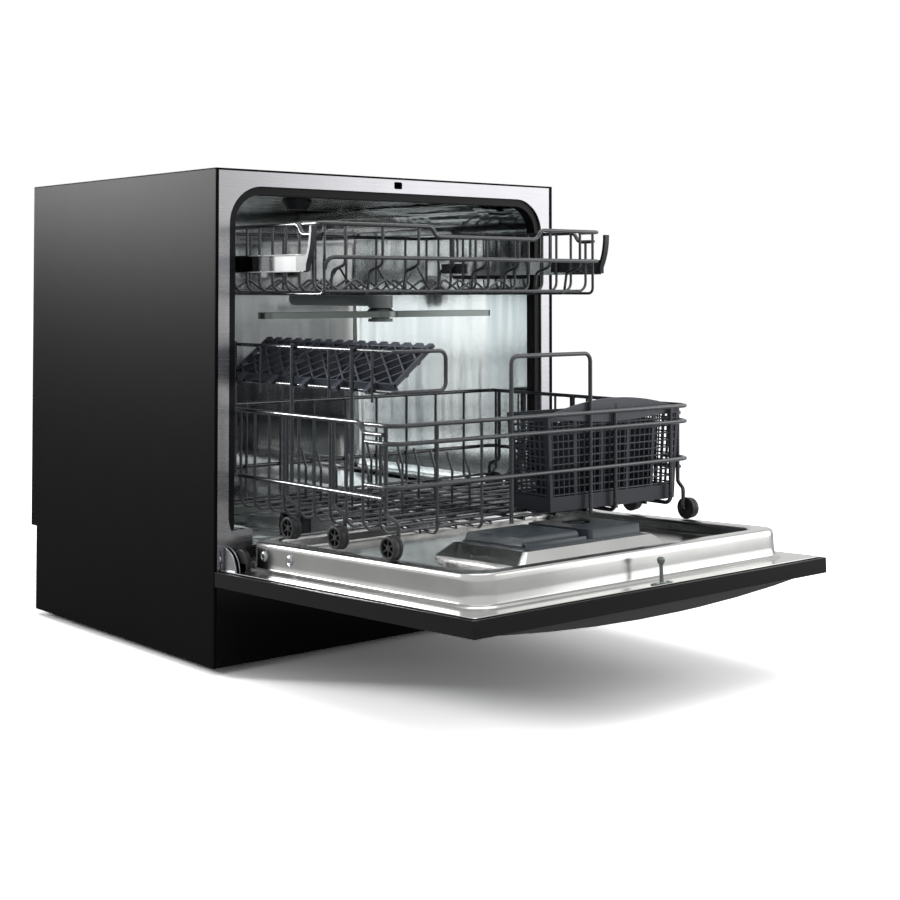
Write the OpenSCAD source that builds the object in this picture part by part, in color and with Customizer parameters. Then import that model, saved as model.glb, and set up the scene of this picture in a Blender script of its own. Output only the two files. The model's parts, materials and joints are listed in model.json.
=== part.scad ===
// Countertop dishwasher with its door open and both racks drawn out.
// Millimetres, front towards -Y, right-hand side +X, standing on Z = 0.
// The origin is the centre of the base of the whole outline, open door included.

/* [Cabinet] */
// Overall width
cabinet_w = 550; // [520:1:600]
// Overall height, feet included
cabinet_h = 595; // [575:1:640]
// Depth of the cabinet behind its front plane
cabinet_d = 478; // [465:1:520]
// Sheet thickness of the cabinet panels
sheet = 1.2; // [0.8:0.1:2]
// Height of the levelling feet
foot_h = 8; // [6:1:16]
// Diameter of a levelling foot
foot_d = 32; // [24:1:44]
// Depth of the hose recess at the foot of the back
recess_d = 16; // [12:1:24]
// Height of the hose recess
recess_h = 122; // [100:1:140]

/* [Tub] */
// Space between the outer face of a side panel and the tub
tub_side_gap = 20; // [18:1:40]
// Space between the rear wall of the tub and the back of the cabinet
tub_rear_gap = 48; // [46:1:80]
// Clearance from the cabinet top to the ceiling of the tub
tub_top_gap = 20; // [18:1:30]
// Height of the tub floor above the ground
tub_floor_z = 139; // [138:1:142]
// Height of the front sill of the tub
sill_z = 147; // [145:1:152]
// Wall thickness of the tub
tub_wall = 1.2; // [0.8:0.1:1.6]
// Corner radius of the tub opening
tub_r = 46; // [30:1:55]
// Thickness of the door gasket
gasket_t = 10; // [8:0.5:12]

/* [Door] */
// Height of the hinge axis above the ground
hinge_z = 128; // [126:1:130]
// Depth of the hinge axis behind the front plane
hinge_y = 6; // [5:1:8]
// Thickness of the door panel
door_t = 18; // [14:1:24]
// How far the open door stands above its level stop, in degrees
door_lift = 2; // [0.5:0.5:3]
// Height of the raised rim of the liner
liner_h = 35; // [30:1:36]
// Depth of the recess inside the rim of the liner
liner_recess = 15; // [10:1:20]
// Projection of the crescent grip
grip_h = 15; // [8:1:22]

/* [Upper rack] */
// Space beside the upper rack for its rail and rollers
upper_side_gap = 29; // [27:1:40]
// Clearance from the top wire of the upper rack to the ceiling of the tub
upper_top_gap = 49; // [40:1:60]
// Height of the upper rack, from its floor to its top wire
upper_wall = 77; // [72:1:80]
// How far the rail centre lies below the top wire
rail_drop = 45; // [42:1:48]
// How far the upper rack is drawn out
upper_out = 191; // [150:1:200]
// Diameter of the rollers that carry the rail
roller_d = 17.4; // [14:0.2:18]

/* [Lower rack] */
// Space beside the lower rack
lower_side_gap = 17; // [16:1:26]
// Clearance from the cup guard up to the bearing of the mid spray arm
guard_gap = 24; // [14:1:40]
// How far the lower rack is drawn out
lower_out = 334; // [300:1:340]
// Clearance behind the racks when they are pushed home
rack_rear_gap = 13.2; // [10:0.2:30]
// Diameter of a rack wheel
wheel_d = 27; // [22:1:29]
// Width of a rack wheel
wheel_w = 12; // [9:0.5:13]
// Thick frame wire
wire_d = 5; // [4:0.5:6]
// Thin filling wire
thin_d = 3.6; // [3:0.2:4.4]

/* [Cup shelf and cutlery basket] */
// Width of the cup shelf
shelf_w = 79; // [60:1:82]
// Slope of the cup shelf in use, in degrees
shelf_tilt = 38; // [20:1:45]
// Length of the cutlery basket
basket_w = 226; // [190:1:230]
// Depth of the cutlery basket
basket_d = 70; // [60:1:80]
// Height of the basket walls
basket_h = 112; // [90:1:125]

/* [Wash system] */
// Clearance from the sweep of the lower spray arm to the rear wall of the tub
arm_gap = 25.2; // [18:0.2:60]
// Clearance from the sweep of the mid spray arm to the rear wall of the tub
mid_arm_gap = 15.2; // [12:0.2:60]
// Diameter of the filter bowl
filter_d = 78; // [60:1:90]
// Outer diameter of the water inlet thread
inlet_d = 26.4; // [20:0.2:27]
// Outer diameter of the drain spigot
drain_d = 20; // [16:1:22]

/* [Hidden] */
$fn = 48;

// Clearances
pin_play = 0.08;    // radial, between a pin and what turns on it
fit = 0.2;          // between parts that seat on each other
run = 0.3;          // between parts that move past each other
eps = 0.01;         // overlap that makes a cut go right through

// Cabinet
half_w = cabinet_w / 2;
inner_x = half_w - sheet - fit;          // inner face of the side panels
lid_z = cabinet_h - sheet - fit;         // underside of the top panel
tub_top_z = cabinet_h - tub_top_gap;
tub_w = cabinet_w - 2 * tub_side_gap;
tub_x = tub_w / 2;
tub_depth = cabinet_d - tub_rear_gap;
frame_foot_z = sill_z - 26;              // lower edge of the front frame
steel = [0.72, 0.72, 0.73];
charcoal = [0.22, 0.22, 0.23];
slate = [0.36, 0.39, 0.43];
black = [0.06, 0.06, 0.065];

// Door, drawn flat: its local Y runs from the hinge (0) outwards (negative), its local Z from the hinge
hinge_drop = 7;                          // from the hinge axis down to the inner face of the door
door_len = cabinet_h - hinge_z;          // from the hinge axis to the outer end
door_in_z = -hinge_drop;
door_out_z = -hinge_drop - door_t;
liner_x = tub_x - gasket_t - 4;          // half the width of the liner's raised field
liner_near = 22;                         // start of the raised field, from the hinge axis
liner_far = tub_top_z - gasket_t - 4 - hinge_z;
rim_w = 26;                              // width of the raised rim
rim_z = door_in_z + liner_h;

// Racks: both are drawn where they stand when drawn out, home is further in by their travel
home_front = rim_z + hinge_y + 10;       // front of a rack at home, behind the closed door's liner
rack_len = sheet + tub_depth - home_front - rack_rear_gap;
lower_front = home_front - lower_out;
lower_rear = lower_front + rack_len;
upper_front = home_front - upper_out;
upper_rear = upper_front + rack_len;
wheel_r = wheel_d / 2;
wheel_ys = [lower_front + 6, lower_front + 100, lower_front + 190, lower_rear - 8];
// A wheel touches the sloping rim of the open door where the front one stands
axle_z = hinge_z + (rim_z + wheel_r + run + (hinge_y - wheel_ys[0]) * sin(door_lift)) / cos(door_lift);
ledge_z = axle_z - wheel_r - run;
wheel_x = liner_x - wheel_w;             // inner face of the wheels
ledge_x = wheel_x - 8;                   // inner edge of the ledges in the tub
lower_floor_z = axle_z + 12;
lower_x = tub_x - lower_side_gap;

// Levels, from the ceiling of the tub downwards
upper_top_z = tub_top_z - upper_top_gap;
upper_floor_z = upper_top_z - upper_wall;
rail_z = upper_top_z - rail_drop;
feed_z = upper_floor_z - thin_d / 2 - fit - 9;   // axis of the pipe that feeds the mid spray arm
loop_top = feed_z - 29 - guard_gap;              // top of the cup guard
loop_low = loop_top - 43;                        // the wire that the cup shelf turns on
lower_top_z = loop_low - 34;                     // top wire of the lower rack

// Rails of the upper rack
upper_x = tub_x - upper_side_gap;
rail_t = 1.2;
rail_in_x = upper_x + 6;                 // outer face of the rail's web
rail_flange = 8.6;
rail_start = upper_front + 23;           // front end of a rail, behind its end clip
rail_h = roller_d + 2 * run + 2 * rail_t;
roller_w = 6;
roller_ys = [home_front + 44, home_front + 116];

// Outline of the whole object along Y, which sets the origin
out_y = hinge_y - door_len * cos(door_lift) + door_out_z * sin(door_lift);
origin_y = (out_y + cabinet_d) / 2;

// ---------- helpers ----------

module place() translate([0, -origin_y, 0]) children();

module on_door() place() translate([0, hinge_y, hinge_z]) rotate([-door_lift, 0, 0]) children();

module both_sides() {
    children();
    mirror([1, 0, 0]) children();
}

// Rounded rectangle on its centre
module rrect(w, h, r) {
    square([w - 2 * r, h], center = true);
    square([w, h - 2 * r], center = true);
    for (x = [-1, 1], y = [-1, 1]) translate([x * (w / 2 - r), y * (h / 2 - r)]) circle(r);
}

// An outline drawn in X and Z, extruded from y0 towards the back
module facing_front(y0, t) translate([0, y0 + t, 0]) rotate([90, 0, 0]) linear_extrude(t) children();

// An outline drawn in Y and Z, extruded from x0 to the right
module facing_side(x0, t) translate([x0, 0, 0]) rotate([90, 0, 90]) linear_extrude(t) children();

function unit(v) = v / norm(v);

// Turn at the middle one of three points, in degrees
function turn(a, b, c) = acos(max(-1, min(1, unit(b - a) * unit(c - b))));

// How much a bend of radius r takes off the wire on each side of point i
function setback(p, i, r) =
    i <= 0 || i >= len(p) - 1 ? 0 : r * tan(turn(p[i - 1], p[i], p[i + 1]) / 2);

// Straight piece of round bar from a to b
module bar(a, b, d) {
    v = b - a;
    translate(a) rotate([0, acos(v[2] / norm(v)), atan2(v[1], v[0])]) cylinder(h = norm(v), d = d);
}

// Points of a wire's path with each corner replaced by the two ends of its bend
function eased(p, r) = [for (i = [0:len(p) - 1]) let (s = setback(p, i, r))
    each s == 0 ? [p[i]] : [p[i] - s * unit(p[i] - p[i - 1]), p[i] + s * unit(p[i + 1] - p[i])]];

// Direction of the wire at each point of its path
function headings(q) = [for (i = [0:len(q) - 1])
    unit((i > 0 ? unit(q[i] - q[i - 1]) : [0, 0, 0]) + (i < len(q) - 1 ? unit(q[i + 1] - q[i]) : [0, 0, 0]))];

// One side vector carried along the headings t, starting from s
function carried(t, s, i = 0) = i >= len(t) ? [] :
    let (n = unit(s - (s * t[i]) * t[i])) concat([n], carried(t, n, i + 1));

// Six-sided wire of diameter d through the points p, with bends of radius r
module wire(p, d, r = 8) {
    q = eased(p, r);
    t = headings(q);
    chord = p[len(p) - 1] - p[0];
    side = carried(t, abs(t[0][2]) < 0.9 ? [0, 0, 1] : norm([chord[0], chord[1]]) > 1 ? chord : [1, 0, 0]);
    n = len(q);
    polyhedron(
        points = [for (i = [0:n - 1], k = [0:5]) q[i]
            + d / 2 * (cos(60 * k) * side[i] + sin(60 * k) * cross(t[i], side[i]))],
        faces = concat([[for (k = [0:5]) k]], [[for (k = [5:-1:0]) 6 * (n - 1) + k]],
            [for (i = [0:n - 2], k = [0:5], h = [0, 1]) let (j = (k + 1) % 6)
                h == 0 ? [6 * i + k, 6 * i + 6 + k, 6 * i + 6 + j] : [6 * i + k, 6 * i + 6 + j, 6 * i + j]]));
}

// Straight six-sided wire from a to b
module rod(a, b, d) hull() bar(a, b, d, $fn = 6);

// Section of the tub's inside, grown by g
module tub_outline(g = 0) difference() {
    translate([0, (tub_top_z + tub_floor_z) / 2])
        rrect(tub_w + 2 * g, tub_top_z - tub_floor_z + 2 * g, tub_r + g);
    for (s = [-1, 1]) translate([s * (tub_x + ledge_x + g + 20) / 2, ledge_z - g - 50])
        square([tub_x - ledge_x - g + 20, 100], center = true);
}

// ---------- cabinet ----------

module side_panel() color(charcoal) facing_side(-half_w, sheet) polygon([
    [0, foot_h], [cabinet_d - recess_d, foot_h], [cabinet_d - recess_d, recess_h],
    [cabinet_d, recess_h], [cabinet_d, cabinet_h - sheet], [0, cabinet_h - sheet]]);

module side_panel_left() place() side_panel();

module side_panel_right() place() mirror([1, 0, 0]) side_panel();

module top_panel() place() color(charcoal) {
    translate([-half_w, 0, cabinet_h - sheet]) cube([cabinet_w, cabinet_d, sheet]);
    both_sides() translate([-inner_x, 20, cabinet_h - sheet - 14])
        cube([sheet, cabinet_d - 40, 14 + eps]);
}

// Hose connections in the recess of the back: x and z of each
inlet_at = [half_w - 70, 74];
drain_at = [half_w - 125, 62];
power_at = [85 - half_w, 70];
port_d = 6;                              // how much wider the collar of a hose connection is than its pipe

module back_panel() place() color(charcoal) {
    step = cabinet_d - recess_d;
    difference() {
        union() {
            facing_side(-inner_x, 2 * inner_x) polygon([
                [step - sheet, foot_h + fit], [step, foot_h + fit], [step, recess_h],
                [cabinet_d, recess_h], [cabinet_d, lid_z], [cabinet_d - sheet, lid_z],
                [cabinet_d - sheet, recess_h + sheet], [step - sheet, recess_h + sheet]]);
            both_sides() translate([-inner_x, cabinet_d - 14, recess_h + sheet - eps])
                cube([sheet, 14 - eps, lid_z - recess_h - sheet]);
        }
        for (h = [[inlet_at, inlet_d], [drain_at, drain_d]])
            translate([h[0][0], cabinet_d, h[0][1]]) rotate([90, 0, 0])
                cylinder(h = 3 * recess_d, d = h[1] + port_d + 2 * fit);
        translate([power_at[0], step, power_at[1]]) cube([27 + 2 * fit, 8, 20 + 2 * fit], center = true);
        for (i = [0:11], k = [0, 1]) facing_front(step - 2 * sheet, 4 * sheet)
            translate([-90 + i * 14, 48 + k * 32]) rrect(4, 24, 1.9);
    }
}

foot_at = [half_w - 38, 45, cabinet_d - recess_d - 45];

module base_pan() place() color(black) difference() {
    w = 2 * inner_x;
    d = cabinet_d - recess_d - sheet - 2 * fit - 2;
    union() {
        difference() {
            translate([-inner_x, 2 + fit, foot_h]) cube([w, d, 26]);
            translate([-inner_x + 2.5, 4.5 + fit, foot_h + 2.5]) cube([w - 5, d - 5, 26]);
        }
        for (s = [-1, 1], y = [foot_at[1], foot_at[2]])
            translate([s * foot_at[0], y, foot_h]) cylinder(h = 18, d = 20);
        for (x = [-210, -150, -75, 0, 75, 150, 205])
            translate([x, 4 + fit, foot_h + 2]) cube([2.5, d - 4, 8]);
    }
    for (s = [-1, 1], y = [foot_at[1], foot_at[2]])
        translate([s * foot_at[0], y, foot_h - 1]) cylinder(h = 16, d = 8 + 2 * fit);
}

module levelling_feet() place() color(black)
    for (s = [-1, 1], y = [foot_at[1], foot_at[2]]) translate([s * foot_at[0], y, 0]) {
        cylinder(h = 2, d1 = foot_d - 3, d2 = foot_d);
        translate([0, 0, 2 - eps]) cylinder(h = foot_h - 2 + eps, d = foot_d);
        translate([0, 0, foot_h - eps]) cylinder(h = 13, d = 8);
    }

module kick_plate() place() color(black) difference() {
    union() {
        translate([-inner_x, 0, foot_h]) cube([2 * inner_x, 2, frame_foot_z - fit - foot_h]);
        translate([-inner_x + 22, 2 - eps, frame_foot_z - fit - 2]) cube([2 * inner_x - 44, 14, 2]);
    }
    both_sides() hinge_slot();
}

// Opening for a hinge arm in what is in front of it
arm_x = tub_x + 7;                       // inner face of the hinge arms
arm_t = 2.5;
bush_w = 5;
module hinge_slot() translate([-arm_x - arm_t - 2, -5, hinge_z - 18])
    cube([arm_t + 4 + bush_w, 12, sill_z - 1 - hinge_z + 18]);

module front_frame() place() color(steel) difference() {
    facing_front(0, sheet) difference() {
        translate([-inner_x, frame_foot_z]) square([2 * inner_x, lid_z - frame_foot_z]);
        intersection() {
            tub_outline();
            translate([-tub_x, sill_z]) square([tub_w, tub_top_z]);
        }
        translate([0, latch_z]) rrect(13, 9, 2);
    }
    both_sides() hinge_slot();
}

// Centre of the latch, halfway between the tub and the top panel
latch_z = (tub_top_z + tub_wall + lid_z) / 2;

module latch_receiver() place() color(black) {
    h = lid_z - tub_top_z - tub_wall - 2 * fit;
    difference() {
        facing_front(sheet, 30) translate([0, latch_z]) rrect(44, h, 2);
        facing_front(sheet - eps, 24) translate([0, latch_z]) rrect(15, 10, 2);
    }
    translate([-7, sheet + 12, latch_z - 5.3]) cube([14, 3, 3.5]);
}

// ---------- tub ----------

hub_at = [0, home_front + rack_len / 2 - 3];   // centre of the spray arms, at home
filter_at = [96, hub_at[1] - 92];
dish_r = 70;
dish_h = 9;
arm_r = sheet + tub_depth - arm_gap - hub_at[1];
mid_arm_r = sheet + tub_depth - mid_arm_gap - hub_at[1];
softener_at = [87 - tub_x, hub_at[1] - 96];
softener_port_d = 50;
dock_d = 46;

module tub() place() color(steel) difference() {
    union() {
        facing_front(sheet, tub_depth + tub_wall) tub_outline(tub_wall);
        translate([filter_at[0], filter_at[1], tub_floor_z - dish_h - tub_wall])
            cylinder(h = dish_h + tub_wall, r = dish_r + tub_wall);
    }
    facing_front(sheet - 1, tub_depth + 1) tub_outline();
    translate([filter_at[0], filter_at[1], tub_floor_z - dish_h]) cylinder(h = dish_h + 1, r = dish_r);
    translate([filter_at[0], filter_at[1], 0]) cylinder(h = tub_floor_z, d = filter_d + 2);
    translate([hub_at[0], hub_at[1], 0]) cylinder(h = tub_floor_z + 1, d = 30);
    translate([softener_at[0], softener_at[1], 0]) cylinder(h = tub_floor_z + 1, d = softener_port_d + 2);
    translate([0, tub_depth - 5, feed_z]) rotate([-90, 0, 0]) cylinder(h = 20, d = 30);
    translate([hub_at[0], hub_at[1], tub_top_z - 5]) cylinder(h = 20, d = 24);
}

module door_gasket() place() color(black) facing_front(sheet + 2, 16) intersection() {
    difference() {
        tub_outline(-fit);
        tub_outline(-gasket_t);
    }
    translate([-tub_x, ledge_z + fit]) square([tub_w, tub_top_z]);
    // nothing lies across the ledges that the wheels run on
    union() {
        translate([-tub_x, ledge_z + gasket_t]) square([tub_w, tub_top_z]);
        both_sides() translate([-tub_x, 0]) square([gasket_t, tub_top_z]);
    }
}

module ceiling_sprayer() place() color(charcoal) translate([hub_at[0], hub_at[1], tub_top_z - fit]) {
    translate([0, 0, -12]) difference() {
        cylinder(h = 12, d1 = 30, d2 = 44);
        for (a = [0:60:300]) rotate(a) translate([10, 0, -1]) cylinder(h = 6, d = 3);
    }
    cylinder(h = 12, d = 24 - 2 * fit);
}

module rear_feed_dock() place() color(charcoal)
    translate([0, sheet + tub_depth - 6, feed_z]) rotate([-90, 0, 0]) difference() {
        union() {
            cylinder(h = 6 - fit, d = dock_d);
            cylinder(h = 32, d = 30 - 2 * fit);
        }
        translate([0, 0, -1]) cylinder(h = 34, d = 20);
    }

// ---------- hinges ----------

pin_d = 8;
bracket_y = 2 + fit;                     // front edge of the brackets, behind the plinth

module hinge_brackets() place() color(steel) both_sides() {
    difference() {
        facing_side(-inner_x, 3) union() {
            intersection() {
                translate([hinge_y, hinge_z]) circle(14);
                translate([bracket_y, hinge_z - 20]) square([40, 40]);
            }
            translate([bracket_y, foot_h + 26 + fit]) square([60, 60]);
            polygon([[bracket_y, 90], [bracket_y + 60, 90], [hinge_y + 12, hinge_z], [bracket_y, hinge_z]]);
        }
        translate([-half_w, hinge_y + 44, spring_z]) rotate([0, 90, 0]) cylinder(h = 9, d = 2.4);
    }
    translate([-inner_x + 3 - eps, hinge_y, hinge_z]) rotate([0, 90, 0])
        cylinder(h = inner_x - tub_x + 2.5, d = pin_d);
}

spring_z = 60;
spring_ys = [hinge_y + 86, hinge_y + 182];       // ends of a spring's coil

module door_springs() place() color(steel) both_sides() {
    x = -arm_x - 2;
    anchor_y = spring_ys[1] + 16;
    bar([x, spring_ys[0], spring_z], [x, spring_ys[1], spring_z], 12);
    wire([[x, spring_ys[1] - eps, spring_z], [x, anchor_y, spring_z], [x, anchor_y, spring_z - 17]], 2, 4);
    wire([[x, spring_ys[0] + eps, spring_z], [x, hinge_y + 44, spring_z],
        [-inner_x + 1, hinge_y + 44, spring_z]], 2, 4);
    translate([-inner_x, anchor_y - 4, foot_h + 26 + fit]) cube([13, 8, 10]);
}

module hinge_arms() on_door() color(steel) both_sides() difference() {
    facing_side(-arm_x - arm_t, arm_t) difference() {
        union() {
            circle(16);
            translate([-74, door_in_z + fit]) square([74, 12]);
            translate([-74, door_in_z + fit + 6]) circle(6);
        }
        circle(d = pin_d + 2 * pin_play);
        translate([-100, door_in_z - 40 + fit]) square([97, 40]);
    }
    translate([-arm_x - 5, -58, door_in_z + 7]) rotate([0, 90, 0]) cylinder(h = 10, d = 4.5);
}

module hinge_bushes() on_door() color(black) both_sides()
    translate([-arm_x + fit, 0, 0]) rotate([0, 90, 0]) difference() {
        cylinder(h = bush_w, d = 19);
        translate([0, 0, -1]) cylinder(h = 8, d = pin_d + 2 * pin_play);
    }

// ---------- rail rollers ----------

bracket_x = rail_in_x + rail_flange + 2 * run;   // inner face of the roller brackets

module roller_brackets() place() color(black) both_sides() {
    wall = -tub_x + fit;
    facing_side(wall, 5) translate([104, rail_z]) rrect(164, 30, 6);
    facing_side(wall, -bracket_x - wall) translate([36, rail_z]) rrect(28, 26, 4);
    for (y = roller_ys) translate([wall + 1, y, rail_z]) rotate([0, 90, 0]) {
        cylinder(h = -bracket_x - wall - 1, d = 13);
        cylinder(h = -rail_in_x - rail_t - run - wall - 1, d = 5);
    }
}

module roller(y) translate([-rail_in_x - rail_t - run - roller_w, y, rail_z]) rotate([0, 90, 0])
    color(charcoal) difference() {
        cylinder(h = roller_w, d = roller_d);
        translate([0, 0, -1]) cylinder(h = roller_w + 2, d = 5 + 2 * pin_play);
    }

module roller_front_left() place() roller(roller_ys[0]);

module roller_rear_left() place() roller(roller_ys[1]);

module roller_front_right() place() mirror([1, 0, 0]) roller(roller_ys[0]);

module roller_rear_right() place() mirror([1, 0, 0]) roller(roller_ys[1]);

// ---------- wash system ----------

arm_z = tub_floor_z + 12;                // underside of the lower spray arm

spindle_d = 24;

// Flat spray arm of radius r, hollow underneath, with a row of jets on each wing
module spray_arm(r, w, h) difference() {
    union() {
        linear_extrude(h) {
            circle(d = 46);
            for (s = [0, 180]) rotate(s) {
                polygon([[0, -w / 2], [r - w * 0.36, -w * 0.36], [r - w * 0.36, w * 0.36], [0, w / 2]]);
                translate([r - w * 0.36, 0]) circle(w * 0.36);
            }
        }
        translate([0, 0, h - eps]) cylinder(h = 4, d1 = 36, d2 = 28);
    }
    translate([0, 0, -1]) cylinder(h = h + 6, d = spindle_d + 2 * pin_play);
    for (s = [0, 180], i = [0:6]) rotate(s)
        translate([40 + i * (r - 60) / 6, (i % 2 - 0.5) * w * 0.3, h - 4]) cylinder(h = 6, d = 3);
}

module spray_hub() place() color(charcoal) translate([hub_at[0], hub_at[1], 0]) {
    translate([0, 0, tub_floor_z + fit]) cylinder(h = arm_z - tub_floor_z - fit - run, d = 44);
    translate([0, 0, volute_top + fit]) cylinder(h = tub_floor_z - volute_top, d = 30 - 2 * fit);
    translate([0, 0, arm_z - run - eps]) cylinder(h = 14, d = spindle_d);
    translate([0, 0, arm_z + 13 + run]) cylinder(h = 4, d = 32);
}

module lower_spray_arm() place() color(steel) translate([hub_at[0], hub_at[1], arm_z])
    spray_arm(arm_r, 46, 9);

module filter() place() color(slate) translate([filter_at[0], filter_at[1], tub_floor_z - dish_h]) {
    translate([0, 0, fit]) difference() {
        cylinder(h = 3, r = dish_r - 4);
        translate([0, 0, -1]) cylinder(h = 5, d = filter_d - 8);
        for (a = [0:15:345]) rotate(a) translate([filter_d / 2 + 4, 0, -1]) cylinder(h = 5, d = 6);
    }
    translate([0, 0, -46]) difference() {
        cylinder(h = 47, d = filter_d);
        translate([0, 0, 3]) cylinder(h = 60, d = filter_d - 5);
        for (a = [0:20:340], z = [10, 26]) rotate(a) translate([filter_d / 2 - 6, -2, z]) cube([12, 4, 11]);
    }
    translate([-filter_d / 2 + 1, -2, -4]) cube([filter_d - 2, 4, 12]);
    translate([0, 0, -4]) cylinder(h = 13, d = 16);
}

// Sump under the filter, with a volute under the hub of the lower arm
sump_top = tub_floor_z - dish_h - tub_wall - fit;
sump_h = 72;
sump_lip = 6;
sump_z = sump_top - sump_h;
volute_top = tub_floor_z - 30;
drain_y = filter_at[1] - 78;             // where the drain pump meets the sump

module sump() place() color(charcoal) difference() {
    union() {
        translate([filter_at[0], filter_at[1], sump_z]) {
            cylinder(h = sump_h, d = filter_d + 14);
            translate([0, 0, sump_h - sump_lip]) cylinder(h = sump_lip, d = filter_d + 34);
        }
        translate([hub_at[0], hub_at[1], sump_z + 20]) cylinder(h = volute_top - sump_z - 20, d = 46);
        bar([filter_at[0], filter_at[1], sump_z + 31], [hub_at[0], hub_at[1], sump_z + 31], 19);
        bar([filter_at[0], filter_at[1], sump_z + 16], [filter_at[0], drain_y + fit, sump_z + 16], 22);
    }
    translate([filter_at[0], filter_at[1], sump_z + 5]) cylinder(h = 80, d = filter_d + 6);
}

rib_top = foot_h + 10;                   // top of the ribs in the base pan
outlet_z = sump_z + 3;
heater_y = hub_at[1] + 64;

module circulation_pump() place() color(charcoal) {
    translate([hub_at[0], hub_at[1], 0]) {
        translate([0, 0, rib_top + fit]) cylinder(h = 22, d = 84);
        translate([0, 0, rib_top + fit + 22 - eps]) cylinder(h = 4, d = 62);
        translate([0, 0, rib_top + fit + 26 - 2 * eps])
            cylinder(h = sump_z + 20 - fit - rib_top - fit - 26, d = 94);
    }
    bar([-30, hub_at[1], outlet_z], [-30, heater_y, outlet_z], 18);
}

module drain_pump() place() color(black) {
    at = [filter_at[0], drain_y, sump_z + 16];
    bar(at, at + [0, -14, 0], 54);
    bar(at + [0, -14 + eps, 0], at + [0, -52, 0], 42);
    translate([at[0] - 26, at[1] - 44, rib_top + fit]) cube([52, 26, at[2] - rib_top - 16]);
}

module heater() place() color(steel) {
    bar([-39 - fit, heater_y, outlet_z], [-196, heater_y, outlet_z], 42);
    bar([-196 + eps, heater_y, outlet_z], [-208, heater_y, outlet_z], 30);
    for (x = [-75, -150]) translate([x - 5, heater_y - 17, rib_top + fit])
        cube([12, 34, outlet_z - rib_top - 12]);
}

module inlet_valve() place() color("white") {
    step = cabinet_d - recess_d;
    translate([inlet_at[0] - 22, step - sheet - fit - 40, inlet_at[1] - 20]) cube([44, 40, 40]);
    bar([inlet_at[0], step - 12, inlet_at[1]], [inlet_at[0], step + 1, inlet_at[1]], inlet_d + port_d);
    bar([inlet_at[0], step + 1 - eps, inlet_at[1]], [inlet_at[0], step + recess_d - 1, inlet_at[1]], inlet_d);
    translate([inlet_at[0] - 12, step - 30, rib_top + fit]) cube([24, 20, inlet_at[1] - rib_top - 18]);
}

module drain_spigot() place() color(charcoal) {
    step = cabinet_d - recess_d;
    difference() {
        union() {
            bar([drain_at[0], step - 18, drain_at[1]], [drain_at[0], step + 1, drain_at[1]],
                drain_d + port_d);
            bar([drain_at[0], step + 1 - eps, drain_at[1]], [drain_at[0], step + recess_d - 1, drain_at[1]],
                drain_d);
            bar([drain_at[0], step - 9, drain_at[1]], [drain_at[0], step - sheet - fit, drain_at[1]],
                drain_d + 16);
        }
        bar([drain_at[0], step - 12, drain_at[1]], [drain_at[0], step + recess_d, drain_at[1]], drain_d - 5);
    }
}

module softener() place() color("white") {
    x = softener_at[0];
    y = softener_at[1];
    top = tub_floor_z - tub_wall - fit;
    translate([x - 52, y - 62, rib_top + fit]) cube([104, 124, top - 12 - rib_top - fit]);
    translate([x, y, top - 13]) cylinder(h = 13, d = 70);
    translate([x, y, top - 2]) cylinder(h = tub_wall + 4, d = softener_port_d);
    translate([x, y, top]) cylinder(h = tub_wall + 9, d = 40, $fn = 8);
}

box_at = [half_w - 163, hub_at[1] + 22, rib_top + fit];

module control_box() place() color("white") translate(box_at) difference() {
    cube([120, 108, 46]);
    translate([3, 3, 3]) cube([114, 102, 44]);
}

module power_inlet() place() color(black) {
    step = cabinet_d - recess_d;
    translate([power_at[0], step - 8, power_at[1]]) difference() {
        union() {
            cube([27, 26, 20], center = true);
            translate([0, 8 - sheet - fit - 1.5, 0]) cube([40, 3, 26], center = true);
        }
        translate([0, 10, 0]) cube([22, 24, 15], center = true);
    }
}

// ---------- door ----------

module door_panel() on_door() color(black) difference() {
    translate([-half_w, -door_len, door_out_z]) cube([cabinet_w, door_len - hinge_drop, door_t]);
    translate([-half_w + 3, -door_len + 3, door_out_z + 3])
        cube([cabinet_w - 6, door_len - hinge_drop - 6, door_t]);
}

// Crescent under the outer end of the open door: the chord is the panel's width less a margin
module door_grip() on_door() color(black) {
    chord = cabinet_w - 24;
    r = (chord * chord / 4 + grip_h * grip_h) / (2 * grip_h);
    difference() {
        translate([0, -door_len + 48, door_out_z - fit]) rotate([90, 0, 0]) linear_extrude(34)
            intersection() {
                translate([0, r - grip_h]) circle(r, $fn = 900);
                translate([-half_w, -grip_h - 1]) square([cabinet_w, grip_h + 1]);
            }
        translate([-80, -door_len + 40, door_out_z - grip_h + 3]) cube([160, 20, grip_h - 4]);
    }
}

module door_insulation() on_door() color([0.3, 0.28, 0.26])
    translate([-half_w + 3 + fit + 22, -door_len + 3 + fit + 4, door_out_z + 3 + fit])
        cube([cabinet_w - 6 - 2 * fit - 44, door_len - hinge_drop - 40, door_t - 3 - 3 * fit]);

// Top of the pedestal that carries the dispenser
ped_z = rim_z + 1;
disp_x = 0;
disp_y = -292;
disp_w = 184;
disp_d = 108;

// Raised field of the liner, from the hinge outwards, inset by i
module liner_field(i, r) translate([0, -(liner_near + liner_far) / 2])
    rrect(2 * (liner_x - i), liner_far - liner_near - 2 * i, r);

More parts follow.
